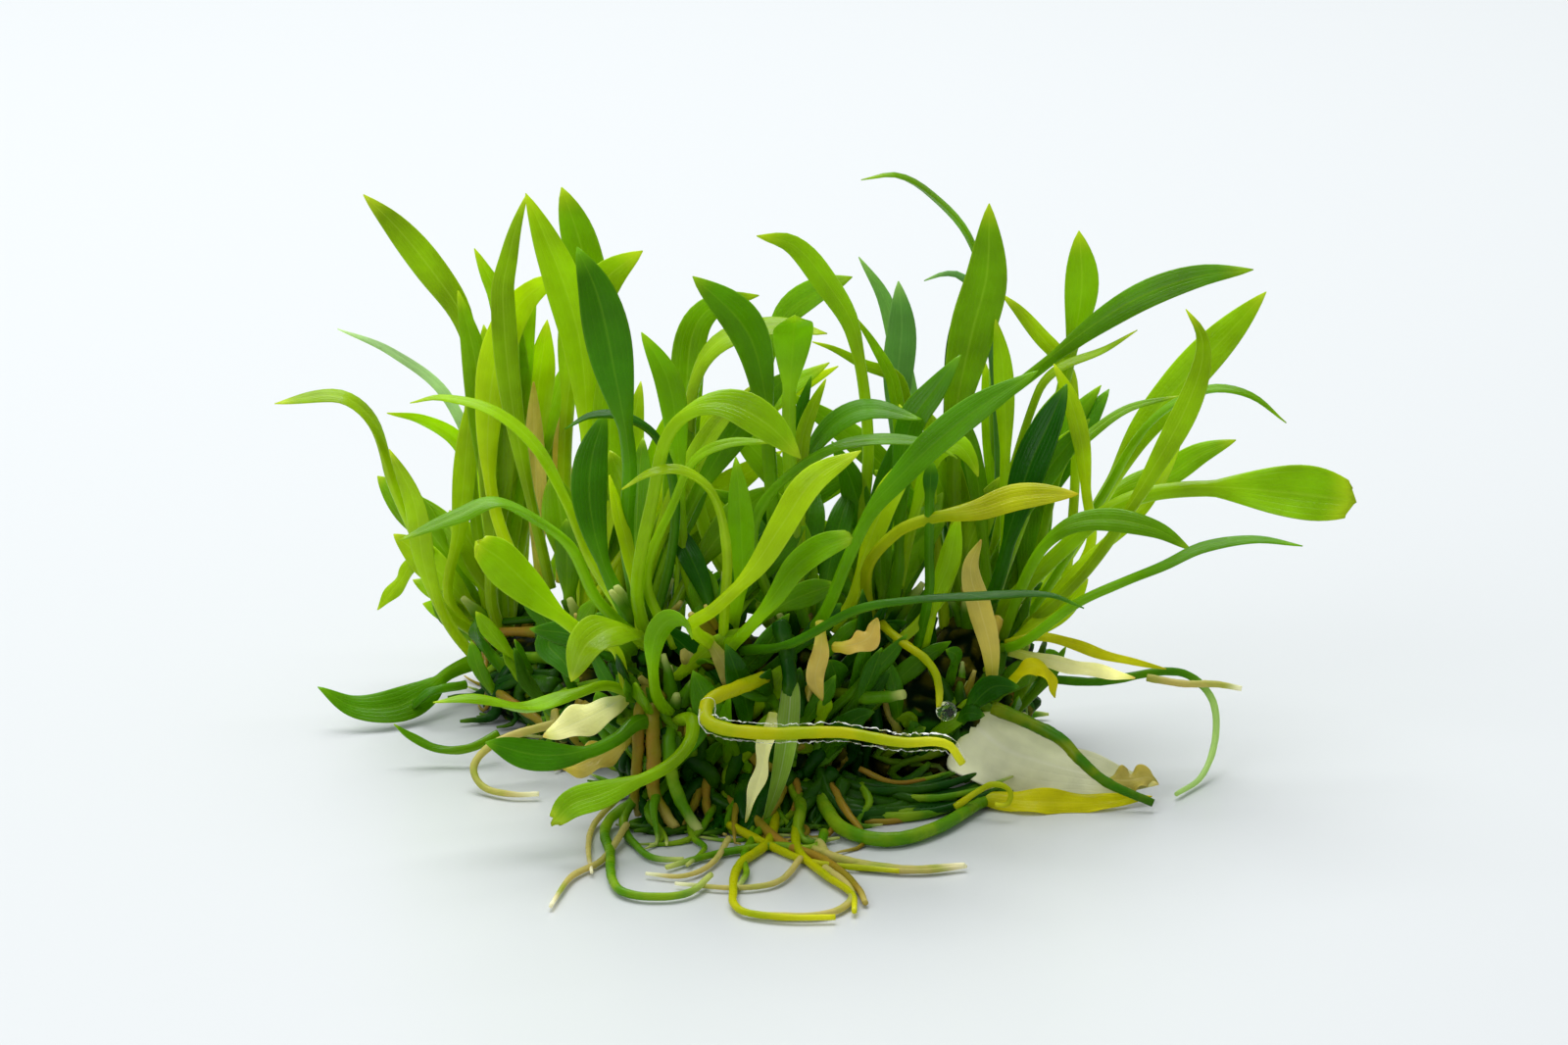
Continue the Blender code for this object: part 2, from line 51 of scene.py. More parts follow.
def ringed_cylinder(name, sides, rings):
    """A closed cylinder, one unit long and two wide, cut into rings along its length."""
    bpy.ops.object.select_all(action="DESELECT")
    bpy.ops.mesh.primitive_cylinder_add(vertices=sides, radius=1, depth=1, end_fill_type="NGON")
    blank = bpy.context.object
    blank.name = name
    bpy.ops.object.mode_set(mode="EDIT")
    bpy.ops.mesh.select_mode(type="EDGE")
    bpy.ops.mesh.select_all(action="DESELECT")
    bpy.ops.object.mode_set(mode="OBJECT")
    points = blank.data.vertices
    for edge in blank.data.edges:
        edge.select = abs(points[edge.vertices[0]].co.z - points[edge.vertices[1]].co.z) > 0.5
    bpy.ops.object.mode_set(mode="EDIT")
    bpy.ops.mesh.subdivide(number_cuts=rings - 1)
    bpy.ops.object.mode_set(mode="OBJECT")
    return blank


leaf_blank = ringed_cylinder("leaf_blank", LEAF_SIDES, LEAF_RINGS)


# Leaf tissue
# The tissue is glossy and lets light through. It has a paler midrib and parallel veins, painted rim light
# pales its margins, and its stalk is paler than its blade. All leaf colours share this node group.
VEINS_PER_HALF = 4
LEAF_SHINE = 0.22


def add_node(tree, kind, settings=None, values=None):
    """A node with its settings and the values of its input sockets."""
    node = tree.nodes.new(kind)
    for key, value in (settings or {}).items():
        setattr(node, key, value)
    for key, value in (values or {}).items():
        node.inputs[key].default_value = value
    return node


def math_node(tree, operation, first, second=None):
    """A Math node; each of its two inputs is a socket or a number."""
    node = add_node(tree, "ShaderNodeMath", {"operation": operation})
    for slot, source in enumerate((first, second)):
        if isinstance(source, (int, float)):
            node.inputs[slot].default_value = source
        elif source is not None:
            tree.links.new(source, node.inputs[slot])
    return node.outputs[0]


def ramp_node(tree, source, low, high, at_low=0.0, at_high=1.0):
    """A smooth step of a value, from low to high."""
    node = add_node(tree, "ShaderNodeMapRange", {"interpolation_type": "SMOOTHSTEP"},
                    {"From Min": low, "From Max": high, "To Min": at_low, "To Max": at_high})
    tree.links.new(source, node.inputs["Value"])
    return node.outputs["Result"]


def mix_colours(tree, share, first, second, blend="MIX"):
    """A colour Mix node; share, first and second are sockets or plain values."""
    node = add_node(tree, "ShaderNodeMix", {"data_type": "RGBA", "blend_type": blend})
    for slot, source in ((0, share), (6, first), (7, second)):
        if isinstance(source, bpy.types.NodeSocket):
            tree.links.new(source, node.inputs[slot])
        else:
            node.inputs[slot].default_value = source
    return node.outputs[2]


def noise_node(tree, places, scale, detail=2.0):
    """Noise on object coordinates; scale is in features per metre."""
    node = add_node(tree, "ShaderNodeTexNoise", None, {"Scale": scale, "Detail": detail})
    tree.links.new(places, node.inputs["Vector"])
    return node.outputs[0]


def attribute_node(tree, name):
    return add_node(tree, "ShaderNodeAttribute", {"attribute_name": name}).outputs["Fac"]


def new_group(name, inputs, outputs):
    """An empty node group with colour inputs and the named outputs, and its end nodes."""
    tree = bpy.data.node_groups.new(name, "ShaderNodeTree")
    for label in inputs:
        tree.interface.new_socket(label, in_out="INPUT", socket_type="NodeSocketColor")
    for label, kind in outputs.items():
        tree.interface.new_socket(label, in_out="OUTPUT", socket_type=kind)
    return tree, tree.nodes.new("NodeGroupInput"), tree.nodes.new("NodeGroupOutput")


tissue, given, made = new_group("leaf_tissue", ("Blade", "Stalk", "VeinAndRimLight", "Tip"), {
    "Color": "NodeSocketColor", "Through": "NodeSocketColor",
    "Roughness": "NodeSocketFloat", "Height": "NodeSocketFloat"})
places = tissue.nodes.new("ShaderNodeTexCoord").outputs["Object"]
blotches = noise_node(tissue, places, 330.0, 3.0)
cells = noise_node(tissue, places, 5200.0, 1.0)
from_midrib = math_node(tissue, "ABSOLUTE", attribute_node(tissue, "across"))
midrib = ramp_node(tissue, from_midrib, 0.01, 0.1, 1.0, 0.0)
# Painted rim light: the margins are paled towards the vein colour.
rim_light_margin = ramp_node(tissue, from_midrib, 0.88, 1.0)
wave = math_node(tissue, "SINE", math_node(tissue, "MULTIPLY", from_midrib, math.pi * VEINS_PER_HALF))
vein = math_node(tissue, "POWER", math_node(tissue, "SUBTRACT", 1.0, math_node(tissue, "ABSOLUTE", wave)),
                 3.0)
on_blade = attribute_node(tissue, "blade")
veins = math_node(tissue, "MULTIPLY", vein, on_blade)
tissue_colour = mix_colours(tissue, on_blade, given.outputs["Stalk"], given.outputs["Blade"])
shade = math_node(tissue, "MULTIPLY_ADD", blotches, 0.9)
shade.node.inputs[2].default_value = 0.55
shade = math_node(tissue, "ADD", shade, math_node(tissue, "MULTIPLY", attribute_node(tissue, "tone"), 0.22))
shaded = add_node(tissue, "ShaderNodeHueSaturation")
tissue.links.new(shade, shaded.inputs["Value"])
tissue.links.new(math_node(tissue, "MULTIPLY_ADD", attribute_node(tissue, "tone"), -0.012),
                 shaded.inputs["Hue"])
shaded.inputs["Hue"].links[0].from_node.inputs[2].default_value = 0.5
tissue.links.new(tissue_colour, shaded.inputs["Color"])
tissue_colour = shaded.outputs["Color"]
# Paler midrib and veins, which the tissue has, and painted rim light on the margins, all towards the vein
# colour.
pale = math_node(tissue, "ADD", math_node(tissue, "MULTIPLY", midrib, 0.2),
                 math_node(tissue, "MULTIPLY", veins, 0.06))
pale = math_node(tissue, "ADD", pale, math_node(tissue, "MULTIPLY", rim_light_margin, 0.22))
tissue_colour = mix_colours(tissue, pale, tissue_colour, given.outputs["VeinAndRimLight"])
tip = ramp_node(tissue, attribute_node(tissue, "along"), 0.93, 1.0, 0.0, 0.7)
tissue_colour = mix_colours(tissue, tip, tissue_colour, given.outputs["Tip"])
underside = ramp_node(tissue, attribute_node(tissue, "upper"), -0.3, 0.1, 0.12, 0.0)
tissue_colour = mix_colours(tissue, underside, tissue_colour, (0.42, 0.60, 0.05, 1.0))
tissue.links.new(tissue_colour, made.inputs["Color"])
glow = add_node(tissue, "ShaderNodeHueSaturation", None, {"Hue": 0.488, "Saturation": 1.0, "Value": 1.8})
tissue.links.new(tissue_colour, glow.inputs["Color"])
tissue.links.new(glow.outputs["Color"], made.inputs["Through"])
tissue.links.new(ramp_node(tissue, blotches, 0.3, 0.7, 0.16, 0.34), made.inputs["Roughness"])
height = math_node(tissue, "ADD", math_node(tissue, "MULTIPLY", veins, -0.6),
                   math_node(tissue, "MULTIPLY", cells, 0.9))
tissue.links.new(height, made.inputs["Height"])


def leaf_skin(name, blade, stalk, vein, tip, through=0.42):
    """A leaf colour: glossy tissue over light that comes through from behind."""
    material = bpy.data.materials.new(name)
    material.use_nodes = True
    tree = material.node_tree
    shader = tree.nodes["Principled BSDF"]
    shader.inputs["IOR"].default_value = 1.4
    shader.inputs["Specular IOR Level"].default_value = LEAF_SHINE
    # The vein colour paints the pale midrib and veins, and the painted rim light along the margins.
    group = add_node(tree, "ShaderNodeGroup", {"node_tree": tissue},
                     {"Blade": (*blade, 1), "Stalk": (*stalk, 1), "VeinAndRimLight": (*vein, 1), "Tip": (*tip, 1)})
    bump = add_node(tree, "ShaderNodeBump", None, {"Strength": 0.5, "Distance": 0.04 * MM})
    tree.links.new(group.outputs["Height"], bump.inputs["Height"])
    tree.links.new(group.outputs["Color"], shader.inputs["Base Color"])
    tree.links.new(group.outputs["Roughness"], shader.inputs["Roughness"])
    tree.links.new(bump.outputs["Normal"], shader.inputs["Normal"])
    behind = tree.nodes.new("ShaderNodeBsdfTranslucent")
    tree.links.new(group.outputs["Through"], behind.inputs["Color"])
    tree.links.new(bump.outputs["Normal"], behind.inputs["Normal"])
    both = add_node(tree, "ShaderNodeMixShader", None, {"Fac": through})
    tree.links.new(shader.outputs["BSDF"], both.inputs[1])
    tree.links.new(behind.outputs["BSDF"], both.inputs[2])
    tree.links.new(both.outputs["Shader"], tree.nodes["Material Output"].inputs["Surface"])
    return material


DEEP = leaf_skin("deep_leaf", (0.022, 0.130, 0.001), (0.060, 0.220, 0.002), (0.16, 0.38, 0.02),
                 (0.12, 0.32, 0.01))
DARK = leaf_skin("dark_leaf", (0.075, 0.250, 0.001), (0.130, 0.330, 0.002), (0.28, 0.52, 0.03),
                 (0.22, 0.46, 0.01))
MID = leaf_skin("mid_leaf", (0.150, 0.350, 0.001), (0.210, 0.410, 0.002), (0.40, 0.62, 0.04),
                (0.38, 0.56, 0.02))
LIME = leaf_skin("lime_leaf", (0.260, 0.460, 0.001), (0.300, 0.480, 0.003), (0.52, 0.70, 0.06),
                 (0.50, 0.62, 0.02))
BRIGHT = leaf_skin("bright_leaf", (0.370, 0.540, 0.003), (0.390, 0.540, 0.004), (0.60, 0.74, 0.10),
                   (0.58, 0.68, 0.04))
YELLOW = leaf_skin("yellow_leaf", (0.600, 0.600, 0.003), (0.460, 0.520, 0.004), (0.72, 0.70, 0.05),
                   (0.66, 0.58, 0.02))
HAZY = leaf_skin("hazy_leaf", (0.190, 0.380, 0.110), (0.210, 0.400, 0.080), (0.40, 0.58, 0.24),
                 (0.38, 0.56, 0.22))


# Leaves of the left plant
# Eight leaves rise from the crown at the left end of the front row. The tall one stands nearest the viewer,
# and the others bow out to the left. Each stalk widens into a pale sheath where it leaves the crown.
STALK_LEAST = 0.2
STALK_PER_WIDTH = 0.08
STALK_IN_BLADE = 0.6
BLADE_HALF_THICKNESS = 0.13
TIP_RADIUS = 0.035
SWELL_SKEW = 1.25
SWELL_FULLNESS = 0.85
FOLD = 0.18
RIB_HEIGHT = 0.1
RIB_WIDTH = 0.17
MARGIN_WAVES = 2.3
SHEATH_LENGTH = 4.0
SHEATH_SPREAD = 0.9
PATH_STEPS = 12

FRONT = (0.0, -1.0, 0.2)
FRONT_LEFT = (-0.5, -0.8, 0.4)
FRONT_RIGHT = (0.5, -0.8, 0.4)
FRONT_UP = (0.0, -0.9, 0.45)
SLANT = (0.0, -0.7, 0.7)
SKY = (0.0, -0.3, 1.0)
REAR_SKY = (0.0, 0.5, 0.9)

# Crowns: centre and radius, as the solids have them
CROWNS = {
    "left": ((-7.5, 0.8, 8.6), 2.1),
    "front": ((-3.4, -0.6, 8.8), 2.1),
    "middle": ((0.8, 1.8, 7.9), 2.3),
    "centre": ((5.2, 5.5, 6.9), 2.4),
    "right": ((10.6, 7.5, 6.4), 2.5),
    "corner": ((12.4, 13.0, 4.2), 2.3),
    "back": ((-11.0, 12.0, 4.4), 2.3),
    "rear": ((-16.2, 20.0, 2.6), 2.2),
    "side": ((9.8, 2.4, 4.0), 1.6),
    "low": ((-6.0, -2.4, 5.4), 1.8),
}


def smooth_path(knots, steps):
    """Points along a smooth curve through the knots, with handles set by each knot's neighbours."""
    knots = [Vector(knot) for knot in knots]
    handles = []
    for index in range(len(knots)):
        before = knots[max(index - 1, 0)]
        after = knots[min(index + 1, len(knots) - 1)]
        handles.append((after - before).normalized())
    path = [knots[0]]
    for index in range(len(knots) - 1):
        reach = (knots[index + 1] - knots[index]).length / 3
        near = knots[index] + handles[index] * reach
        far = knots[index + 1] - handles[index + 1] * reach
        path += interpolate_bezier(knots[index], near, far, knots[index + 1], steps + 1)[1:]
    return path


def even_stations(path, count):
    """The same path, as count + 1 points that are evenly spaced along it, and its length."""
    lengths = [0.0]
    for before, after in zip(path, path[1:]):
        lengths.append(lengths[-1] + (after - before).length)
    stations = []
    span = 0
    for number in range(count + 1):
        target = lengths[-1] * number / count
        while span < len(path) - 2 and lengths[span + 1] < target:
            span += 1
        share = (target - lengths[span]) / (lengths[span + 1] - lengths[span])
        stations.append(path[span].lerp(path[span + 1], share))
    return stations, lengths[-1]


def carried_frames(stations, look_at, faces):
    """Direction and normal at each station: the normal faces the given side at look_at, without twist."""
    count = len(stations)
    runs = []
    for index in range(count):
        before = stations[max(index - 1, 0)]
        after = stations[min(index + 1, count - 1)]
        runs.append((after - before).normalized())
    normals = [None] * count
    side = Vector(faces)
    normals[look_at] = (side - side.dot(runs[look_at]) * runs[look_at]).normalized()
    for order, step in ((range(look_at + 1, count), 1), (range(look_at - 1, -1, -1), -1)):
        for index in order:
            normal = normals[index - step].copy()
            normal.rotate(runs[index - step].rotation_difference(runs[index]))
            normals[index] = normal
    return runs, normals


def blade_section(along, width, blade_start, whole, skew):
    """Half width, half thickness and swell of a leaf at a share of its length; a torn blade ends early."""
    radius = STALK_LEAST + STALK_PER_WIDTH * width
    if along <= blade_start:
        return radius, radius, 0.0
    share = whole * (along - blade_start) / (1 - blade_start)
    swell = math.sin(math.pi * share ** skew) ** SWELL_FULLNESS
    stalk = radius * (1 - share)
    half_width = stalk + (width / 2 - radius * STALK_IN_BLADE) * swell + TIP_RADIUS * share
    half_thickness = stalk * (1 - share) ** 2 + BLADE_HALF_THICKNESS * swell + TIP_RADIUS * share
    return half_width, half_thickness, swell


def bend_blank(blank, name, rings, stations, frames, section):
    """A copy of a blank, laid along the stations; section gives each point's place and its surface values."""
    runs, normals = frames
    mesh = blank.data.copy()
    mesh.name = name
    marks = {"across": [], "along": [], "blade": [], "upper": [], "tone": []}
    for vert in mesh.vertices:
        along = vert.co.z + 0.5
        ring = round(along * rings)
        offset, values = section(along, vert.co.y, vert.co.x)
        sideways = runs[ring].cross(normals[ring])
        place = stations[ring] + sideways * offset[0] + normals[ring] * offset[1] + runs[ring] * offset[2]
        place.z = max(place.z, 0.02)
        vert.co = place * MM
        for key, value in zip(marks, values):
            marks[key].append(value)
    for key, values in marks.items():
        mesh.attributes.new(key, "FLOAT", "POINT").data.foreach_set("value", values)
    piece = bpy.data.objects.new(name, mesh)
    bpy.context.scene.collection.objects.link(piece)
    mesh.shade_smooth()
    return piece


def finish_piece(piece, skin, nodes=()):
    """Gives a finished piece its material and its body, and hides the solids of the nodes that it stands for.
    """
    piece.data.materials.clear()
    piece.data.materials.append(skin)
    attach(piece, "root")
    if nodes:
        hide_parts(*nodes)


def grow_leaf(node, crown, skin, width, blade_start, faces, knots, fold=FOLD, wave=0.05, torn=1.0,
              skew=SWELL_SKEW, blank=None, rings=LEAF_RINGS, finished=True):
    """A leaf along its way points. With a crown it replaces the solid of its name; otherwise it is extra."""
    chance = random.Random(node)
    if crown:
        centre = Vector(CROWNS[crown][0])
        outward = (Vector(knots[0]) - centre).normalized()
        knots = (centre + outward * CROWNS[crown][1] * 0.35, *knots)
    stations, length = even_stations(smooth_path(knots, PATH_STEPS), rings)
    look_at = round((1 + blade_start) / 2 * rings)
    runs, normals = carried_frames(stations, look_at, faces)
    phase = chance.uniform(0, 6)
    tone = chance.uniform(-1, 1)

    def section(along, side, up):
        half_width, half_thickness, swell = blade_section(along, width, blade_start, torn, skew)
        across = math.copysign(abs(side) ** 1.25, side)
        sheath = max(0.0, 1 - along * length / SHEATH_LENGTH) ** 1.4 if crown else 0.0
        half_width *= 1 + SHEATH_SPREAD * sheath
        lift = up * half_thickness * (1 - 0.45 * across * across * swell)
        lift += (math.sqrt(across * across + 0.01) - 0.1) * half_width * fold * swell
        ripple = math.sin(math.tau * MARGIN_WAVES * along + phase + 1.4 * (across > 0))
        lift += wave * half_width * across * across * swell * ripple * 2
        rib = RIB_HEIGHT * swell * math.exp(-(across / RIB_WIDTH) ** 2)
        lift -= rib * (0.55 if up > 0 else 0.8)
        push = 0.0
        if torn < 1:
            ragged = max(0.0, (along - 0.9) / 0.1)
            push = ragged * 0.35 * (noise.noise(Vector((across * 3.1, phase, 0))) - abs(across) * 0.6)
        lift += 0.02 * noise.noise(Vector((along * 9, across * 2, phase)))
        return (across * half_width, lift, push), (across, along, min(1.0, swell * 1.6), up, tone)

    piece = bend_blank(blank or leaf_blank, "grown_" + node, rings, stations, (runs, normals), section)
    if finished:
        finish_piece(piece, skin, (node,) if crown else ())
    return piece


grow_leaf("leaf_left_tall", "left", DARK, 2.6, 0.56, FRONT,
          ((-8.6, -0.8, 15), (-8.4, -2.6, 20.4), (-9.2, -3.8, 26), (-10, -4, 29.9), (-11.1, -3.5, 32.4)),
          fold=0.34)
grow_leaf("leaf_front_spoon", "left", LIME, 2.1, 0.68, SLANT,
          ((-8, -3.4, 13.5), (-7, -5, 19.3), (-6.2, -5.6, 22.6), (-4.7, -6, 24.1), (-2.9, -6.5, 24.4),
           (-0.8, -7.4, 23.5), (0.9, -8, 21.9)), wave=0.12)
grow_leaf("leaf_left_thread", "left", DEEP, 0.9, 0.55, SKY,
          ((-6.2, 0.8, 14), (-6, 0.6, 17.6), (-6.9, 0, 20.8), (-8.5, -0.8, 22.2), (-10.4, -1.4, 22.5),
           (-11.9, -2, 21.9)))
grow_leaf("leaf_left_broad", "left", DARK, 2.1, 0.35, FRONT,
          ((-9.8, 2.6, 12.4), (-10.7, 3.6, 15.6), (-10.7, 4.3, 18.3), (-9.9, 5, 21)))
grow_leaf("leaf_left_bow", "left", LIME, 1.15, 0.40, SKY,
          ((-10.6, 5, 12), (-12.2, 6.3, 15.5), (-13.9, 7, 18.4), (-16.4, 7.5, 20.4), (-19.2, 8, 21),
           (-20.9, 8, 20.7)))
grow_leaf("leaf_left_arch", "left", MID, 1.4, 0.45, SKY,
          ((-10.2, -2.6, 12.4), (-11.6, -4.8, 16.1), (-13.5, -6, 18), (-15.5, -7, 19.2), (-17.4, -8, 18.7),
           (-20.6, -9, 17.6)), wave=0.12)
grow_leaf("leaf_left_round", "left", LIME, 2.6, 0.45, SLANT,
          ((-10.6, -1, 9.8), (-12.2, -1.6, 11.1), (-13.9, -2.1, 12.9), (-15.4, -2.6, 14.6),
           (-16.7, -3, 15.7)),
          torn=0.86, fold=-0.1)
grow_leaf("leaf_low_short", "left", BRIGHT, 2.5, 0.30, FRONT_LEFT,
          ((-8.2, -3.2, 10.6), (-9.3, -5, 11.4), (-10.7, -6.3, 10.9), (-11.5, -7.3, 9.2)), wave=0.1)
# A young leaf in front of the broad one, with no solid of its own
grow_leaf("leaf_left_young", None, BRIGHT, 1.0, 0.30, FRONT_RIGHT,
          ((-7.9, -0.6, 9.6), (-8.1, -1, 12.3), (-8.6, -1.5, 15), (-9.1, -2, 17.3), (-9.5, -2, 19.3)))


# Leaves of the front plants
# Two crowns stand side by side behind the bright root. Their leaves are the sharpest ones that the viewer
# sees: some upright, some arching over to the right, and dark ones behind them.
grow_leaf("leaf_left_small", "front", MID, 1.6, 0.55, FRONT,
          ((-5.4, 1.2, 13), (-5.9, 2, 20.7), (-6.4, 2, 23.7), (-7.8, 2, 26.3)), fold=0.3)
grow_leaf("leaf_front_curl", "front", BRIGHT, 0.95, 0.50, SKY,
          ((-3.2, -4, 12.8), (-3.1, -5, 16), (-3.8, -5.5, 19.2), (-5.3, -6, 20.6), (-7.1, -6.6, 20.7),
           (-8.7, -7, 19.9)))
grow_leaf("leaf_front_upright", "front", MID, 1.5, 0.28, FRONT,
          ((-2.3, -2.6, 13.4), (-2.3, -3.4, 16), (-2.4, -4.2, 18.4), (-2.6, -4.8, 21.1)), fold=0.4)
grow_leaf("leaf_front_bright", "front", BRIGHT, 1.95, 0.50, FRONT_LEFT,
          ((-5, -5.4, 11.8), (-3.7, -7.5, 13.4), (-1.6, -9, 16), (0, -9.6, 18.7), (1.7, -9.6, 21.2),
           (4.1, -9, 22.6)), wave=0.1)
grow_leaf("leaf_front_blunt", "front", MID, 1.7, 0.50, FRONT_LEFT,
          ((-2.1, -6, 11.6), (-0.5, -7.5, 14), (0.6, -8, 15.8), (2.1, -8.5, 17.1), (3.6, -8.5, 17.7)),
          torn=0.86)
grow_leaf("leaf_right_needle", "front", DEEP, 0.8, 0.45, SKY,
          ((0.2, -3.8, 10.2), (3.9, -5.2, 12.6), (6.9, -6, 13.4), (10.6, -7, 13.9), (14.2, -8, 14.3),
           (16.1, -8.5, 13.7)))
grow_leaf("leaf_middle_blade", "middle", MID, 2.5, 0.55, FRONT_RIGHT,
          ((-0.4, 3.6, 13), (-0.7, 4, 17), (-1.1, 4, 21.6), (-2.1, 4, 25.8), (-5, 3, 29.2)), fold=0.3)
grow_leaf("leaf_middle_spade", "middle", MID, 2.3, 0.70, REAR_SKY,
          ((0.7, 2.2, 13), (0.3, 2, 19), (0.3, 2, 23), (0.5, 1, 26.3), (0.6, -1.4, 28.1)), wave=0.12)
grow_leaf("leaf_middle_bow", "middle", BRIGHT, 2.4, 0.60, SKY,
          ((-3.8, 5.4, 12.6), (-5.2, 6.2, 18), (-5, 6.6, 22), (-3.6, 6.7, 24.4), (-0.6, 6.6, 25.4),
           (2.4, 6.4, 25.1)))
grow_leaf("leaf_front_arch", "middle", MID, 1.3, 0.45, SKY,
          ((-1.6, 0, 14), (-1.5, -0.2, 16.4), (0, -0.4, 18.6), (2.7, -1, 20.5), (5.3, -1.5, 21.1),
           (8, -2, 21), (9.4, -2.5, 20.4)))
grow_leaf("leaf_front_sweep", "middle", DARK, 1.9, 0.45, FRONT_LEFT,
          ((2.4, -2, 11.8), (3.5, -3, 14.9), (4.8, -3.6, 17.8), (6.4, -4, 19.8), (8, -4.2, 21.5),
           (10.6, -4.2, 23.7), (13.7, -3.6, 25.6)), fold=0.35)
# Smaller leaves between them, with no solids of their own
grow_leaf("leaf_front_second_arch", None, LIME, 1.0, 0.40, SKY,
          ((-6, -1.6, 9.4), (-7.5, -2.5, 13.6), (-5.9, -3, 18.2), (-4.8, -3, 20.4), (-2.9, -3.5, 21.5),
           (-0.5, -4, 21.7)))
grow_leaf("leaf_middle_dark_arch", None, DARK, 2.2, 0.35, SKY,
          ((0.8, 4, 8.4), (0.8, 5, 10.8), (1.1, 5, 16.5), (1.9, 4.5, 19.2), (4.3, 4, 21.3), (7.6, 3, 21.1)))
grow_leaf("leaf_middle_dark_blade", None, BRIGHT, 1.8, 0.35, FRONT_LEFT,
          ((2.6, 3, 9), (3.7, 3, 10.5), (4.6, 3.5, 13.2), (5.7, 4, 16.1), (7.2, 4.5, 18.9)))
grow_leaf("leaf_middle_star", None, DARK, 1.0, 0.30, FRONT,
          ((0.5, 4, 12), (0.7, 4, 19.6), (1, 4, 21.5), (1.5, 4, 23.3)))
grow_leaf("leaf_middle_star_right", None, BRIGHT, 0.9, 0.30, FRONT,
          ((0.9, 3.5, 13), (1, 3.5, 19.7), (1.6, 3.5, 21.7), (2.3, 3, 23.4)))
grow_leaf("leaf_middle_hanging", None, LIME, 1.4, 0.40, SLANT,
          ((6.4, 4.6, 11), (7.6, 4, 16.8), (8.4, 3.5, 19), (9.5, 3, 19.7), (10.3, 2.5, 19), (10.7, 2, 18.1)))
grow_leaf("leaf_middle_blurred", None, LIME, 2.0, 0.35, SKY,
          ((-6, 10.6, 7), (-5.6, 12, 14), (-5.4, 12, 22), (-4.9, 12, 24.3), (-3.6, 12, 25.5),
           (-1.4, 12, 25.9)))


# Low leaves at the front left
# The oldest leaves of the front plants bend down over the surface in front of the roots.
grow_leaf("leaf_low_folded", "low", MID, 1.3, 0.45, FRONT,
          ((-6.9, -5, 7.6), (-7.1, -6.2, 9.6), (-6.9, -7.2, 11.8), (-6.1, -8, 13), (-5.3, -8.6, 13),
           (-4.9, -9, 12.1)), wave=0.14)
grow_leaf("leaf_low_wavy", "low", LIME, 1.2, 0.30, SKY,
          ((-9.4, -3.4, 7.7), (-11.4, -5, 7.8), (-13.8, -6.5, 7.4), (-16.4, -7.5, 8.3), (-18.9, -8.5, 8.4)),
          wave=0.2)
grow_leaf("leaf_low_dark", "low", DARK, 2.1, 0.50, SLANT,
          ((-8, -4.6, 6), (-9.1, -5.6, 5.4), (-10.8, -6.8, 5), (-13.4, -8, 5.2), (-16.1, -9, 6.3)), fold=0.1)
grow_leaf("leaf_low_curl", "low", LIME, 1.9, 0.60, SLANT,
          ((-5, -5.4, 6.4), (-5.1, -6.6, 5.6), (-6, -7.8, 4.8), (-7.3, -8.8, 4.3), (-8.5, -9.4, 4),
           (-9.9, -10, 3.6),
           (-11.4, -10.4, 3.2), (-12.4, -11, 2.4)), torn=0.86)
grow_leaf("leaf_low_stalk", None, BRIGHT, 1.0, 0.70, FRONT_LEFT,
          ((-7.4, -3, 6), (-8.6, -3.5, 7.7), (-9, -3.6, 9.5), (-9.6, -3.5, 10.5), (-9.7, -3, 11.5)))
grow_leaf("leaf_low_behind", None, DARK, 1.6, 0.30, SLANT,
          ((-8.4, 3.4, 7), (-11, 4, 8.6), (-13.1, 4, 8), (-12.3, 3, 7.1), (-11.4, 2, 6.2)))


# Leaves of the centre plant
# One crown behind the front row carries the hooked leaf, the yellowing one and a dark one, and another that
# stands further back.
grow_leaf("leaf_middle_hook", "centre", LIME, 1.7, 0.60, FRONT_RIGHT,
          ((4.4, 6.6, 13), (4.7, 7, 18.8), (3.8, 6.5, 25.2), (2.2, 6, 28.2), (0.4, 5.5, 30.4), (-1.5, 5, 31)))
grow_leaf("leaf_middle_behind", "centre", MID, 1.9, 0.70, FRONT_LEFT,
          ((0.6, 8.6, 12), (-0.9, 9.6, 17), (-1, 9.8, 21.9), (0, 9.2, 25.3), (1.9, 8.6, 27),
           (3.8, 8.2, 27.9)))
grow_leaf("leaf_right_short", "centre", BRIGHT, 1.3, 0.45, FRONT_LEFT,
          ((6, 1.8, 8.4), (7.4, 2, 9.6), (8.6, 2.6, 11), (9.3, 3.2, 13.6), (9.5, 3.4, 15.6)))
grow_leaf("leaf_right_yellow", "centre", YELLOW, 1.7, 0.60, SLANT,
          ((4.6, 2.4, 12.6), (6.2, 1.6, 15), (8.1, 1, 16), (10.7, 0.2, 16.7), (12.9, 0, 17.5),
           (16.1, -0.8, 17.9)))
grow_leaf("leaf_centre_dark", "centre", DARK, 1.9, 0.45, FRONT_LEFT,
          ((6.4, 4.4, 12), (6.5, 4.8, 16.3), (7.1, 5.2, 20.2), (8.4, 5.6, 22.1), (9.8, 6, 24)))
grow_leaf("leaf_centre_back", "centre", HAZY, 1.9, 0.60, FRONT,
          ((6.2, 11, 10), (6.4, 14.4, 14.6), (6.5, 15.4, 20.4), (6.7, 15.6, 23.2), (6.5, 15.4, 25.9)))
grow_leaf("leaf_centre_yellow_thin", None, BRIGHT, 0.9, 0.30, SLANT,
          ((6.3, 8, 8), (6.8, 14, 17), (6.5, 14, 20.4), (4.5, 14, 21.4), (2.8, 14, 22.3), (1.6, 14, 22.7)))
grow_leaf("leaf_centre_thin", None, LIME, 0.8, 0.40, FRONT,
          ((5.8, 8, 8), (6.6, 12, 16), (6.2, 12, 20.7), (5.1, 12, 23), (3.9, 12, 24.8)))
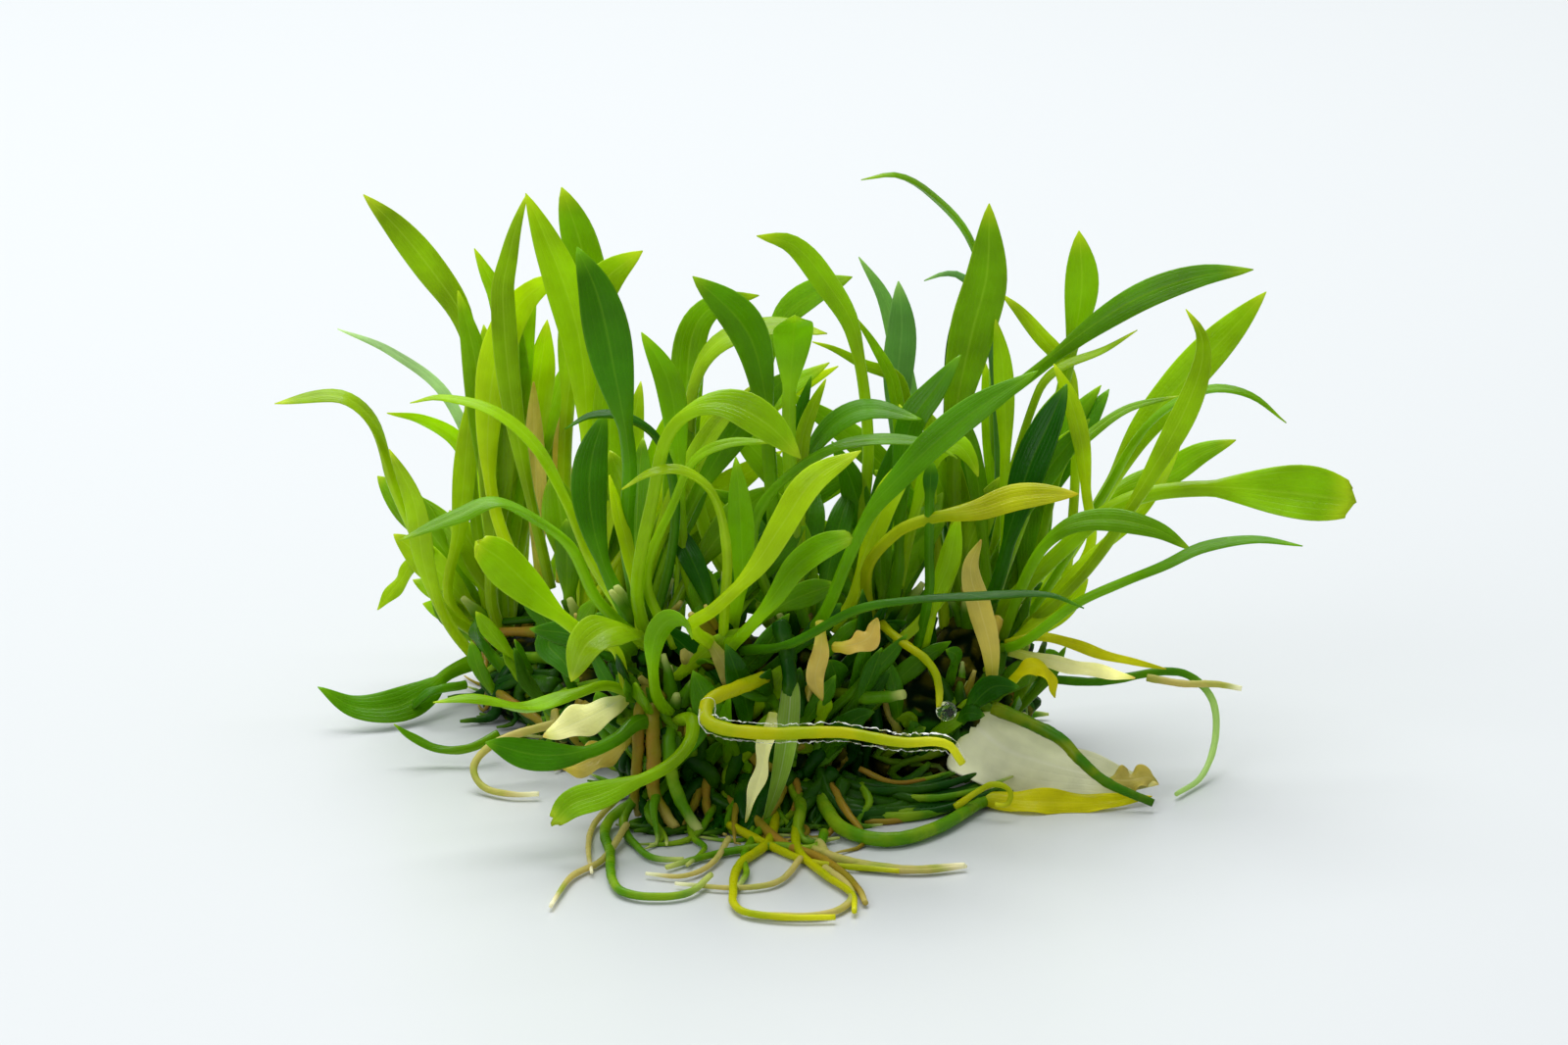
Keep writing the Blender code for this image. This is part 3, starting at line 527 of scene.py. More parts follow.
grow_leaf("leaf_centre_far", None, HAZY, 1.2, 0.50, FRONT,
          ((6, 9.6, 6), (7.5, 19, 12), (7.5, 20, 16.4), (6.8, 20, 19.9), (5.8, 20, 23.7), (4.3, 20, 26.2)))
grow_leaf("leaf_centre_stalk", None, DARK, 0.9, 0.85, FRONT,
          ((7.2, 3.2, 7), (8, 1, 11.7), (8, 1, 14.2), (8, 1, 17.1), (8.1, 1, 19.3)))
grow_leaf("leaf_centre_short", None, LIME, 1.3, 0.40, FRONT,
          ((7.6, 3.4, 7), (8.4, 2, 11.1), (9.1, 2, 13.1), (9.5, 2, 15.1), (9.7, 2, 15.8)))


# Leaves of the right plants
# Two crowns at the right end carry the leaves that reach out furthest, among them the broad one with a torn
# end.
grow_leaf("leaf_right_spoon", "right", LIME, 3.2, 0.68, FRONT_UP,
          ((13.2, 6.8, 10), (15.6, 6.5, 12.6), (18.1, 6, 15), (20.4, 6, 16), (24.1, 6, 16.3), (28, 5.4, 16.2),
           (31.6, 4.5, 16)), torn=0.8, fold=0.5)
grow_leaf("leaf_right_low", "right", DARK, 1.1, 0.50, SKY,
          ((13.2, 2.4, 8.4), (16.2, 1.4, 11), (18.9, 1, 12.4), (21, 0.2, 13.5), (23.1, 0, 14.6),
           (25.8, -0.5, 15.2),
           (28.4, -1, 15)))
grow_leaf("leaf_right_wing", "right", MID, 1.8, 0.60, FRONT_LEFT,
          ((9.2, 10.8, 13), (9.4, 11.9, 18), (12.6, 12, 20.2), (15.2, 11.6, 22.4), (17.6, 11, 24.5),
           (20.3, 10.5, 26.3), (23.3, 10, 27.5), (26.2, 9.5, 28)))
grow_leaf("leaf_right_tall", "right", LIME, 2.7, 0.45, FRONT,
          ((9.7, 8.2, 12), (9.6, 8.6, 19.5), (10.5, 9, 24.5), (11.3, 9, 27.8), (11.4, 9, 31.9)))
grow_leaf("leaf_right_second", "right", LIME, 2.0, 0.72, FRONT,
          ((13, 10, 12), (15, 12, 17.4), (16.4, 13, 23.2), (16.8, 13, 26.3), (16.6, 13, 29.4)))
grow_leaf("leaf_right_curl", "right", BRIGHT, 1.6, 0.50, FRONT_LEFT,
          ((13.4, 5.2, 8.4), (16.4, 4.6, 11.4), (18.6, 4.2, 14.6), (20.7, 4, 18.3), (22.2, 4, 21.3),
           (23.1, 4, 24.1), (23, 4, 25.7), (22.1, 4, 27.1)), wave=0.1)
grow_leaf("leaf_right_dark", "right", DEEP, 2.4, 0.40, FRONT_LEFT,
          ((12, 6, 11), (12.9, 6.2, 14.4), (13.8, 6.8, 17.4), (14.9, 7.4, 19.8), (15.8, 8, 21.8)))
grow_leaf("leaf_right_crook", "corner", MID, 0.9, 0.62, SKY,
          ((12.6, 14.4, 12), (12, 14, 17.4), (11.7, 13.6, 24.7), (10.4, 13, 29.1), (8.2, 12, 31.8),
           (6.3, 11.2, 33), (4.3, 10.5, 32.9)))
grow_leaf("leaf_right_far", "corner", LIME, 2.6, 0.45, FRONT_LEFT,
          ((16.3, 15, 9.8), (18.6, 16, 13.4), (20.5, 16.8, 16.6), (22.6, 17, 19.2), (25, 17, 21.9),
           (27.5, 16.5, 25)))
grow_leaf("leaf_right_hook", "corner", MID, 0.8, 0.55, SKY,
          ((15.4, 12.8, 9), (18.2, 12.8, 14), (20.8, 12.8, 18.3), (23.8, 12.6, 20.2), (26.3, 12, 20.1),
           (28.4, 11.5, 18.6)))
grow_leaf("leaf_right_back", "corner", LIME, 1.7, 0.55, FRONT_LEFT,
          ((14.8, 16.6, 7.6), (17.5, 18, 11), (19.8, 18.6, 12.8), (22.1, 18.8, 13.5), (24.1, 18.8, 14.8),
           (26.1, 18.5, 15.7)))
# Smaller leaves between them, with no solids of their own
grow_leaf("leaf_right_inner", None, DEEP, 1.3, 0.40, FRONT_LEFT,
          ((9.6, 8.6, 8), (9.2, 9.6, 15.2), (9.5, 9.6, 19.8), (9.6, 9.6, 23.7), (10.2, 9.6, 27.2)))
grow_leaf("leaf_right_edge_on", None, HAZY, 0.8, 0.40, SKY,
          ((12.2, 12.6, 7), (12.2, 12.4, 17), (11.9, 12, 22), (11.1, 12.6, 25.7), (9.9, 13, 26.8),
           (9, 13, 26.9),
           (7.9, 13, 26.5)))
grow_leaf("leaf_right_middle_arch", None, LIME, 0.9, 0.35, SKY,
          ((13.6, 11.6, 7), (14.8, 12.6, 12), (15.9, 13, 16), (17.3, 14, 17.1), (19.6, 14.5, 18.6),
           (22.6, 14.5, 19.4)))
grow_leaf("leaf_right_feather", None, BRIGHT, 0.9, 0.45, SKY,
          ((11.2, 9.6, 8.4), (12.6, 10, 15), (14.3, 10, 20.8), (15.4, 10, 22.1), (17.9, 10, 23.2),
           (19.8, 10, 24.4)))
grow_leaf("leaf_right_lime_stem", None, BRIGHT, 1.1, 0.55, FRONT,
          ((14, 8, 7.4), (17.2, 8.6, 12), (17, 9, 15.4), (16.7, 9, 18.2), (16, 9, 20.8), (15.1, 9, 22.7)))
grow_leaf("leaf_right_upright_stem", None, LIME, 1.2, 0.55, FRONT,
          ((11.6, 7.6, 8.4), (12.4, 8.3, 12), (12.4, 8.5, 15.5), (12.4, 8.5, 19.5), (12.2, 8.5, 22.9),
           (11.8, 8.5, 25.4)))
grow_leaf("leaf_right_crossing", None, BRIGHT, 1.2, 0.60, FRONT_RIGHT,
          ((16, 13.6, 7), (16.6, 14, 14), (16.4, 14, 20), (15.5, 14, 21.9), (14.6, 14, 22.9),
           (13.3, 14, 24.5),
           (12.3, 14, 25.5)))
grow_leaf("leaf_right_low_short", None, MID, 1.5, 0.40, SLANT,
          ((12.2, 4.6, 8), (14, 3.6, 13), (15.7, 3, 14.9), (17.9, 3, 15.3), (20.6, 2.5, 14.9),
           (22.5, 2, 13.9)))
grow_leaf("leaf_right_low_blade", None, BRIGHT, 1.5, 0.30, SLANT,
          ((11.4, 4.8, 6), (12.6, 4, 7.7), (14.2, 4.5, 8.7), (15.9, 5, 9.9), (17, 5.5, 11.2)))
grow_leaf("leaf_right_lower_stem", None, BRIGHT, 1.3, 0.45, FRONT_LEFT,
          ((13, 6.4, 6.6), (16, 6.6, 11), (19.4, 7.5, 14), (21.4, 8.4, 17), (22.6, 9.4, 20)))


# Leaves of the rear plants
# Two crowns behind on the left. Their leaves are tall and broad, and lime where light comes through them.
grow_leaf("leaf_rear_tall", "back", LIME, 2.3, 0.45, FRONT,
          ((-11.4, 13.4, 11), (-11.2, 14, 17), (-11.6, 14.5, 22.5), (-12.5, 15, 25.8), (-13.6, 15, 28.7),
           (-14.6, 15, 31.1)), fold=0.3)
grow_leaf("leaf_rear_right", "back", BRIGHT, 2.6, 0.60, FRONT,
          ((-12.4, 16.4, 8), (-12.7, 18.6, 14), (-12.2, 19, 20), (-11.4, 19, 23.4), (-10, 19, 25.4),
           (-8.1, 19, 26.8)))
grow_leaf("leaf_rear_arch", "back", BRIGHT, 2.1, 0.45, FRONT,
          ((-14.6, 15.2, 7.6), (-16.8, 17, 12.6), (-16.8, 17.4, 19.2), (-15.6, 17.2, 23.3), (-13.8, 17, 25.3),
           (-11.8, 17, 25.6)))
grow_leaf("leaf_rear_left", "rear", BRIGHT, 1.9, 0.60, FRONT,
          ((-17.8, 20.6, 9), (-18.3, 21, 15), (-18.1, 21, 19.7), (-18.7, 21, 22.6), (-20.4, 21.5, 25.1),
           (-22.4, 22, 27.5), (-24.3, 22.5, 29.3)))
grow_leaf("leaf_rear_round", "rear", LIME, 2.3, 0.55, FRONT,
          ((-13, 22, 8), (-11.2, 23, 14.4), (-10.7, 23, 21.5), (-11.8, 23.5, 26.1), (-12.9, 24, 29.4)),
          skew=2.0)
grow_leaf("leaf_rear_reach", "rear", BRIGHT, 1.5, 0.60, SKY,
          ((-19.8, 18, 5.7), (-21, 17.5, 9.4), (-22.5, 17, 13.4), (-23.4, 17, 16.6), (-24.5, 17, 18.1),
           (-25.9, 17, 18.7), (-29.2, 16.5, 18.4)))
grow_leaf("leaf_rear_low", "rear", DARK, 2.2, 0.35, SLANT,
          ((-19.4, 17.4, 2), (-20.8, 15.2, 1.4), (-22.6, 13.6, 1), (-24.8, 13, 1.3), (-26.8, 13, 2.5)),
          skew=0.9)
# Smaller leaves between them, with no solids of their own
grow_leaf("leaf_rear_second_blade", None, BRIGHT, 1.5, 0.25, FRONT,
          ((-13.4, 14.4, 8), (-15.4, 15, 18), (-16, 15.5, 25.1), (-15.6, 15.5, 27.4), (-15.2, 16, 29),
           (-14.6, 16.5, 30.7)))
grow_leaf("leaf_rear_fork", None, LIME, 1.5, 0.50, FRONT,
          ((-16.6, 19.6, 5), (-15.8, 20, 14), (-16.1, 20, 22.3), (-16.5, 20, 24), (-17.1, 20, 25.2),
           (-17.8, 20, 26.7)))
grow_leaf("leaf_rear_upright", None, BRIGHT, 1.4, 0.35, FRONT,
          ((-18, 19.4, 3.6), (-19.6, 20, 5.8), (-18.9, 20, 9.9), (-18.5, 20, 14), (-18.1, 20, 18.2)))
grow_leaf("leaf_rear_broad_upright", None, BRIGHT, 2.2, 0.30, FRONT,
          ((-16.4, 18.6, 3.6), (-17, 18, 6.4), (-16.7, 18, 11.7), (-16.5, 18, 16.4), (-16.2, 18, 21)))
grow_leaf("leaf_rear_side_band", None, LIME, 1.2, 0.35, FRONT_LEFT,
          ((-17.2, 22, 3.4), (-17.4, 24, 5.1), (-17.9, 24, 11.1), (-19, 24, 14.1), (-21.2, 23.5, 15.6),
           (-23.2, 23, 16.1)))
grow_leaf("leaf_rear_left_band", None, BRIGHT, 1.7, 0.30, FRONT_LEFT,
          ((-17.6, 17, 2.6), (-19.4, 16, 5.4), (-20.6, 15.6, 9), (-21.2, 15.4, 13), (-22.6, 15.4, 16)))
grow_leaf("leaf_rear_floor_bow", None, MID, 0.8, 0.40, SKY,
          ((-16.2, 7, 1.6), (-17.7, 6, 1.1), (-19.4, 6, 1), (-21, 6, 1.7), (-22, 6, 2.5)))
grow_leaf("leaf_rear_floor_tip", None, DARK, 0.9, 0.35, SKY,
          ((-18.4, 15, 2), (-20.3, 14, 1.9), (-21.2, 14, 1.2), (-21.8, 14, 0.5)))


# Inner leaves
# Between the named leaves the clump is thick with younger and older ones, which the viewer sees as a dense
# green mass. These have no solids of their own: each crown carries fans of them, whose tips lie in a box.
INNER_WAVE = 0.08
SIDES_IN_TURN = (FRONT, FRONT_LEFT, FRONT, FRONT_RIGHT)

# Each row: crown, greens, how many, the least and most width, the lowest and highest corner of the tips' box
INNER_FANS = (
    ("rear", (LIME, BRIGHT), 9, (1.4, 2.3), (-24, 22, 4), (-19, 25, 12)),
    ("rear", (LIME, BRIGHT, LIME), 10, (1.4, 2.2), (-19, 19, 15), (-12, 25, 25)),
    ("back", (LIME, DARK, MID), 10, (1.6, 2.3), (-8, 12, 10), (6, 16, 16)),
    ("back", (LIME, BRIGHT, LIME), 11, (1.6, 2.2), (-10, 14, 15), (4, 20, 23)),
    ("left", (LIME, MID, BRIGHT), 8, (1.4, 2.2), (-10, 4, 13), (1, 8, 23)),
    ("middle", (DARK, MID, DARK), 9, (1.4, 2.2), (-5, 2, 11), (4, 8, 17)),
    ("centre", (MID, LIME, DARK), 10, (1.4, 2.1), (-5, 6, 14), (9, 11, 20)),
    ("centre", (DARK, MID), 6, (1.3, 2.2), (4, 6, 10), (10, 11, 15)),
    ("right", (MID, BRIGHT, LIME), 7, (1.3, 2.0), (3, 9, 14), (18, 12, 22)),
    ("corner", (DARK, LIME, MID), 8, (1.4, 2.3), (8, 12, 8), (16, 17, 16)),
    ("corner", (LIME, BRIGHT), 4, (1.4, 2.1), (0, 13, 17), (18, 16, 22)),
    ("front", (DEEP, DARK, MID), 9, (1.3, 2.0), (-7, 0, 11), (3, 4, 16)),
    ("back", (LIME, MID, BRIGHT), 7, (1.6, 2.3), (-14, 12, 9), (-8, 17, 17)),
    ("corner", (MID, DARK), 6, (1.5, 2.2), (10, 14, 14), (20, 18, 20)),
)


def fan_path(chance, crown, tip):
    """Way points of a leaf that rises from a crown and leans out over to its tip."""
    centre, radius = CROWNS[crown]
    foot = Vector(centre) + Vector((chance.uniform(-0.6, 0.6), chance.uniform(-0.6, 0.6), 0)) * radius
    lean = tip - foot
    bow = foot + Vector((lean.x * 0.3, lean.y * 0.3, lean.z * chance.uniform(0.55, 0.8)))
    return interpolate_bezier(foot, foot.lerp(bow, 0.67), tip.lerp(bow, 0.67), tip, 5)


for fan, (crown, greens, count, widths, low, high) in enumerate(INNER_FANS):
    chance = random.Random("inner fan %d" % fan)
    for number in range(count):
        share = (number + chance.random()) / count
        tip = Vector((low[0] + (high[0] - low[0]) * share, chance.uniform(low[1], high[1]),
                      chance.uniform(low[2], high[2])))
        grow_leaf("leaf_inner_%d_%02d" % (fan, number), None, greens[number % len(greens)],
                  chance.uniform(*widths), chance.uniform(0.28, 0.52), SIDES_IN_TURN[number % 4],
                  fan_path(chance, crown, tip), wave=INNER_WAVE)


# Dying leaves and dead sheaths
# Old leaves lose their green before they rot. One bleached leaf stands behind, one lies on the surface at
# the right, and dry tan rags of stalk sheaths hang round the crowns.
PALE = leaf_skin("bleached_leaf", (0.90, 0.88, 0.54), (0.70, 0.74, 0.20), (0.94, 0.92, 0.72),
                 (0.72, 0.56, 0.20), 0.5)
TAN = leaf_skin("dry_sheath", (0.62, 0.54, 0.13), (0.50, 0.50, 0.06), (0.82, 0.76, 0.38), (0.50, 0.34, 0.08),
                0.4)
FAINT = leaf_skin("faint_leaf", (0.440, 0.620, 0.300), (0.400, 0.580, 0.200), (0.62, 0.76, 0.44),
                  (0.60, 0.72, 0.44), 0.5)
DEAD = leaf_skin("dead_leaf", (0.96, 0.94, 0.62), (0.74, 0.76, 0.20), (0.98, 0.96, 0.80), (0.74, 0.58, 0.16),
                 0.08)
grow_leaf("leaf_rear_pale", "rear", FAINT, 1.0, 0.40, SKY,
          ((-17.6, 25, 6), (-18.2, 28, 11), (-20.1, 29, 15.5), (-23.3, 29.5, 18.1), (-26.5, 30, 19.4)))
grow_leaf("leaf_dead_right", "side", DEAD, 4.2, 0.02, SLANT,
          ((12.2, 1.2, 2.5), (14.6, 0.8, 1.8), (17.6, 0.2, 1.3), (20.8, -0.2, 1)), fold=-0.16, wave=0.16,
          skew=0.55)
grow_leaf("sheath_right_long", None, TAN, 1.4, 0.10, FRONT,
          ((11.6, 1.9, 5.7), (11.4, 1, 8.6), (10.8, 1, 10.9), (10.3, 1.5, 13), (10.9, 2, 14.5)), wave=0.2)
grow_leaf("sheath_front_hanging", None, TAN, 1.1, 0.15, FRONT,
          ((2, -2.2, 11), (2, -3.4, 9.7), (1.7, -3.8, 8.3), (2.1, -3.8, 7)), wave=0.3)
grow_leaf("sheath_front_curl", None, TAN, 1.3, 0.15, SLANT,
          ((2.8, -2.6, 9.7), (3.7, -3.4, 10), (4.7, -3.4, 10.5), (5.1, -3, 11.5)), wave=0.3)
grow_leaf("sheath_front_left", None, TAN, 1.0, 0.15, FRONT,
          ((-4.2, -2.4, 10.1), (-3.5, -3.2, 9.3), (-3.1, -3.4, 8.3), (-3.1, -3.2, 7.3)), wave=0.2)
grow_leaf("sheath_left_pale", None, PALE, 2.0, 0.10, SLANT,
          ((-8.4, -1.6, 6.6), (-9.8, -3, 6.2), (-11.4, -3.6, 5.6), (-13.2, -4, 5)), wave=0.2)
grow_leaf("sheath_left_brown", None, TAN, 1.8, 0.10, SLANT,
          ((-8.2, -2, 4.6), (-9.6, -3, 3.9), (-11, -3.6, 3.2), (-12.2, -4, 3.2)), wave=0.3)
grow_leaf("sheath_rear_tall", None, TAN, 1.3, 0.10, FRONT,
          ((-14.2, 18, 7), (-14.3, 18, 12.8), (-14.4, 18, 15.8), (-14.4, 18, 19.3)), wave=0.2)
grow_leaf("sheath_rear_short", None, TAN, 1.2, 0.10, FRONT,
          ((-13, 19, 7), (-12.8, 19, 13.1), (-12.9, 19, 15.5), (-12.6, 19, 17.8)), wave=0.2)
grow_leaf("sheath_right_floor", None, YELLOW, 0.7, 0.10, SLANT,
          ((12.4, 3.6, 8), (14.2, 3, 8.6), (16.4, 3, 8), (18.6, 3, 7.3), (21.3, 3, 6.7)), wave=0.2)
grow_leaf("sheath_right_knot", None, YELLOW, 1.0, 0.10, SLANT,
          ((12.4, 3, 5.6), (13.2, 2.6, 6.6), (14.2, 2.4, 7), (14.8, 2.4, 6.2), (15.1, 2.4, 5.2)), wave=0.4)
grow_leaf("sheath_right_pale", None, PALE, 1.0, 0.10, SLANT,
          ((12.6, 4, 7.4), (14.6, 3.6, 7), (17, 3.4, 6.5), (19.6, 3.2, 6.1)), wave=0.2)
grow_leaf("sheath_right_film", None, YELLOW, 1.5, 0.05, SLANT,
          ((10.6, -1.4, 0.6), (13.4, -1.9, 0.5), (17, -1.7, 0.4), (20.4, -0.8, 0.5)), wave=0.2, skew=0.8)
grow_leaf("sheath_right_end", None, TAN, 1.6, 0.05, SLANT,
          ((18, 0.2, 1), (19.2, 0, 1.1), (20.2, 0, 1.3), (20.8, 0.2, 0.9)), wave=0.4, skew=0.8)
grow_leaf("sheath_rear_yellow", None, BRIGHT, 1.1, 0.15, FRONT_LEFT,
          ((-20.6, 21, 8.4), (-21.8, 22, 7.2), (-22.4, 22, 6.2), (-23.1, 22, 5.4), (-23.9, 22, 4.4)),
          wave=0.2)


# Rootstock
# The knot of short stems that all the plants share, brown and dark green, with deep creases between old stem
# ends that are darkened with painted shade. It is a remeshed copy of its solid with the lumps and creases
# pushed into it.
KNOT_VOXEL = 0.3
KNOT_LUMPS = 0.75
KNOT_LUMP_HEIGHT = 0.35
KNOT_ROUGHNESS_HEIGHT = 0.3
KNOT_SINK = 0.45
BARK_SHINE = 0.03

knot_group, given, made = new_group("knot_bark", ("PaintedCreaseShade", "Bark", "Green", "Dry"), {
    "Color": "NodeSocketColor", "Roughness": "NodeSocketFloat", "Height": "NodeSocketFloat"})
places = knot_group.nodes.new("ShaderNodeTexCoord").outputs["Object"]
patches = noise_node(knot_group, places, 260.0, 3.0)
flecks = noise_node(knot_group, places, 1500.0, 4.0)
relief = attribute_node(knot_group, "relief")
bark = mix_colours(knot_group, ramp_node(knot_group, patches, 0.45, 0.6), given.outputs["Bark"],
                   given.outputs["Green"])
bark = mix_colours(knot_group, ramp_node(knot_group, flecks, 0.56, 0.72, 0.0, 0.8), bark,
                   given.outputs["Dry"])
# Painted shade: the low places of the relief turn towards the near-black crease colour.
bark = mix_colours(knot_group, ramp_node(knot_group, relief, 0.15, 0.7, 1.0, 0.0), bark,
                   given.outputs["PaintedCreaseShade"])
knot_group.links.new(bark, made.inputs["Color"])
knot_group.links.new(ramp_node(knot_group, flecks, 0.3, 0.7, 0.3, 0.65), made.inputs["Roughness"])
knot_group.links.new(flecks, made.inputs["Height"])


def bark_skin(name, painted_crease_shade, bark, green, dry):
    """Damp brown tissue with painted shade darkening its creases, and green and dry patches."""
    material = bpy.data.materials.new(name)
    material.use_nodes = True
    tree = material.node_tree
    shader = tree.nodes["Principled BSDF"]
    shader.inputs["Specular IOR Level"].default_value = BARK_SHINE
    group = add_node(tree, "ShaderNodeGroup", {"node_tree": knot_group},
                     {"PaintedCreaseShade": (*painted_crease_shade, 1), "Bark": (*bark, 1), "Green": (*green, 1), "Dry": (*dry, 1)})
    bump = add_node(tree, "ShaderNodeBump", None, {"Strength": 0.7, "Distance": 0.12 * MM})
    tree.links.new(group.outputs["Height"], bump.inputs["Height"])
    tree.links.new(group.outputs["Color"], shader.inputs["Base Color"])
    tree.links.new(group.outputs["Roughness"], shader.inputs["Roughness"])
    tree.links.new(bump.outputs["Normal"], shader.inputs["Normal"])
    return material


# The first colour is the painted shade in the creases.
BARK = bark_skin("knot_bark", (0.001, 0.008, 0.0005), (0.060, 0.055, 0.002), (0.020, 0.105, 0.001),
                 (0.24, 0.19, 0.02))

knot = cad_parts["rootstock"].copy()
knot.data = knot.data.copy()
knot.name = "knot"
for key in list(knot.keys()):
    del knot[key]
bpy.context.scene.collection.objects.link(knot)
bpy.ops.object.select_all(action="DESELECT")
bpy.context.view_layer.objects.active = knot
knot.select_set(True)
bpy.ops.object.mode_set(mode="EDIT")
bpy.ops.mesh.select_all(action="SELECT")
bpy.ops.mesh.remove_doubles(threshold=0.005 * MM)
bpy.ops.object.mode_set(mode="OBJECT")
remesh = knot.modifiers.new("finer", "REMESH")
remesh.mode = "VOXEL"
remesh.voxel_size = KNOT_VOXEL * MM
bpy.ops.object.modifier_apply(modifier=remesh.name)
reliefs = []
normals = [vert.normal.copy() for vert in knot.data.vertices]
for vert, normal in zip(knot.data.vertices, normals):
    place = vert.co / MM
    distances = noise.voronoi(place * KNOT_LUMPS)[0]
    lump = min(1.0, (distances[1] - distances[0]) * 2.2)
    rough = noise.fractal(place * 0.9, 1.0, 2.0, 4)
    reliefs.append(lump * (0.75 + 0.5 * rough))
    push = KNOT_LUMP_HEIGHT * lump + KNOT_ROUGHNESS_HEIGHT * rough - KNOT_SINK
    place += normal * push
    place.z = max(place.z, 0.03)
    vert.co = place * MM
knot.data.attributes.new("relief", "FLOAT", "POINT").data.foreach_set("value", reliefs)
knot.data.shade_smooth()
finish_piece(knot, BARK, ("rootstock",))


# Roots
# Round, soft strands, green to tan, with white growing tips. Each is a ringed cylinder laid along its way
# points, a little uneven in thickness.
STRAND_SIDES = 12
STRAND_RINGS = 56
SHORT_RINGS = 16
ROOT_END = 0.55
ROOT_SHINE = 0.2

strand_blank = ringed_cylinder("strand_blank", STRAND_SIDES, STRAND_RINGS)
short_blank = ringed_cylinder("short_blank", STRAND_SIDES, SHORT_RINGS)

root_group, given, made = new_group("root_tissue", ("Base", "Streak", "Tip"), {
    "Color": "NodeSocketColor", "Through": "NodeSocketColor",
    "Roughness": "NodeSocketFloat", "Height": "NodeSocketFloat"})
places = root_group.nodes.new("ShaderNodeTexCoord").outputs["Object"]
patches = noise_node(root_group, places, 420.0, 3.0)
grain = noise_node(root_group, places, 3600.0, 2.0)
root_colour = mix_colours(root_group, ramp_node(root_group, patches, 0.42, 0.66), given.outputs["Base"],
                          given.outputs["Streak"])
towards_tip = ramp_node(root_group, attribute_node(root_group, "along"), 0.8, 1.0, 0.0, 0.85)
root_colour = mix_colours(root_group, towards_tip, root_colour, given.outputs["Tip"])
root_group.links.new(root_colour, made.inputs["Color"])
glow = add_node(root_group, "ShaderNodeHueSaturation", None, {"Hue": 0.49, "Saturation": 0.95, "Value": 1.8})
root_group.links.new(root_colour, glow.inputs["Color"])
root_group.links.new(glow.outputs["Color"], made.inputs["Through"])
root_group.links.new(ramp_node(root_group, grain, 0.3, 0.7, 0.25, 0.45), made.inputs["Roughness"])
root_group.links.new(grain, made.inputs["Height"])


def root_skin(name, base, streak, tip, through=0.35):
    """A root colour: damp tissue that lets some light through, streaked along its length."""
    material = bpy.data.materials.new(name)
    material.use_nodes = True
    tree = material.node_tree
    shader = tree.nodes["Principled BSDF"]
    shader.inputs["IOR"].default_value = 1.4
    shader.inputs["Specular IOR Level"].default_value = ROOT_SHINE
    group = add_node(tree, "ShaderNodeGroup", {"node_tree": root_group},
                     {"Base": (*base, 1), "Streak": (*streak, 1), "Tip": (*tip, 1)})
    bump = add_node(tree, "ShaderNodeBump", None, {"Strength": 0.5, "Distance": 0.05 * MM})
    tree.links.new(group.outputs["Height"], bump.inputs["Height"])
    tree.links.new(group.outputs["Color"], shader.inputs["Base Color"])
    tree.links.new(group.outputs["Roughness"], shader.inputs["Roughness"])
    tree.links.new(bump.outputs["Normal"], shader.inputs["Normal"])
    behind = tree.nodes.new("ShaderNodeBsdfTranslucent")
    tree.links.new(group.outputs["Through"], behind.inputs["Color"])
    both = add_node(tree, "ShaderNodeMixShader", None, {"Fac": through})
    tree.links.new(shader.outputs["BSDF"], both.inputs[1])
    tree.links.new(behind.outputs["BSDF"], both.inputs[2])
    tree.links.new(both.outputs["Shader"], tree.nodes["Material Output"].inputs["Surface"])
    return material


GREEN_ROOT = root_skin("green_root", (0.110, 0.300, 0.003), (0.260, 0.420, 0.010), (0.60, 0.64, 0.22))
YELLOW_ROOT = root_skin("yellow_root", (0.480, 0.500, 0.001), (0.380, 0.460, 0.001), (0.66, 0.68, 0.02))
CLEAR_ROOT = root_skin("clear_root", (0.560, 0.500, 0.160), (0.380, 0.440, 0.060), (0.85, 0.84, 0.66))
TAN_ROOT = root_skin("tan_root", (0.300, 0.250, 0.015), (0.380, 0.230, 0.025), (0.55, 0.48, 0.12), 0.3)
DARK_ROOT = root_skin("dark_root", (0.008, 0.070, 0.001), (0.030, 0.110, 0.001), (0.10, 0.24, 0.004), 0.3)
RUNNER = root_skin("runner", (0.050, 0.200, 0.002), (0.220, 0.300, 0.004), (0.03, 0.15, 0.002), 0.3)
FADING_ROOT = root_skin("fading_root", (0.080, 0.260, 0.003), (0.140, 0.320, 0.004), (0.50, 0.66, 0.26), 0.45)


def lay_strand(name, blank, rings, radius, knots, end=ROOT_END, uneven=0.12, fade=1.0):
    """A round strand along its way points, thinner towards its end; its pale tip grows with fade."""
    stations, length = even_stations(smooth_path(knots, 6), rings)
    frames = carried_frames(stations, 0, (0.3, 0.2, 1.0))
    phase = random.Random(name).uniform(0, 90)

    def section(along, side, up):
        size = radius * (1 - (1 - end) * along * along)
        size *= 1 + uneven * noise.noise(Vector((along * length * 1.1, side, phase)))
        size *= 1 + uneven * 0.6 * noise.noise(Vector((along * length * 4.0, side * 2, up + phase)))
        return (side * size, up * size, 0.0), (side, min(1.0, along * fade), 0.0, up, 0.0)

    return bend_blank(blank, name, rings, stations, frames, section)


def grow_root(node, skin, radius, knots, replaced=True, fade=1.0):
    piece = lay_strand("grown_" + node, strand_blank, STRAND_RINGS, radius, knots, fade=fade)
    finish_piece(piece, skin, (node,) if replaced else ())
    return piece


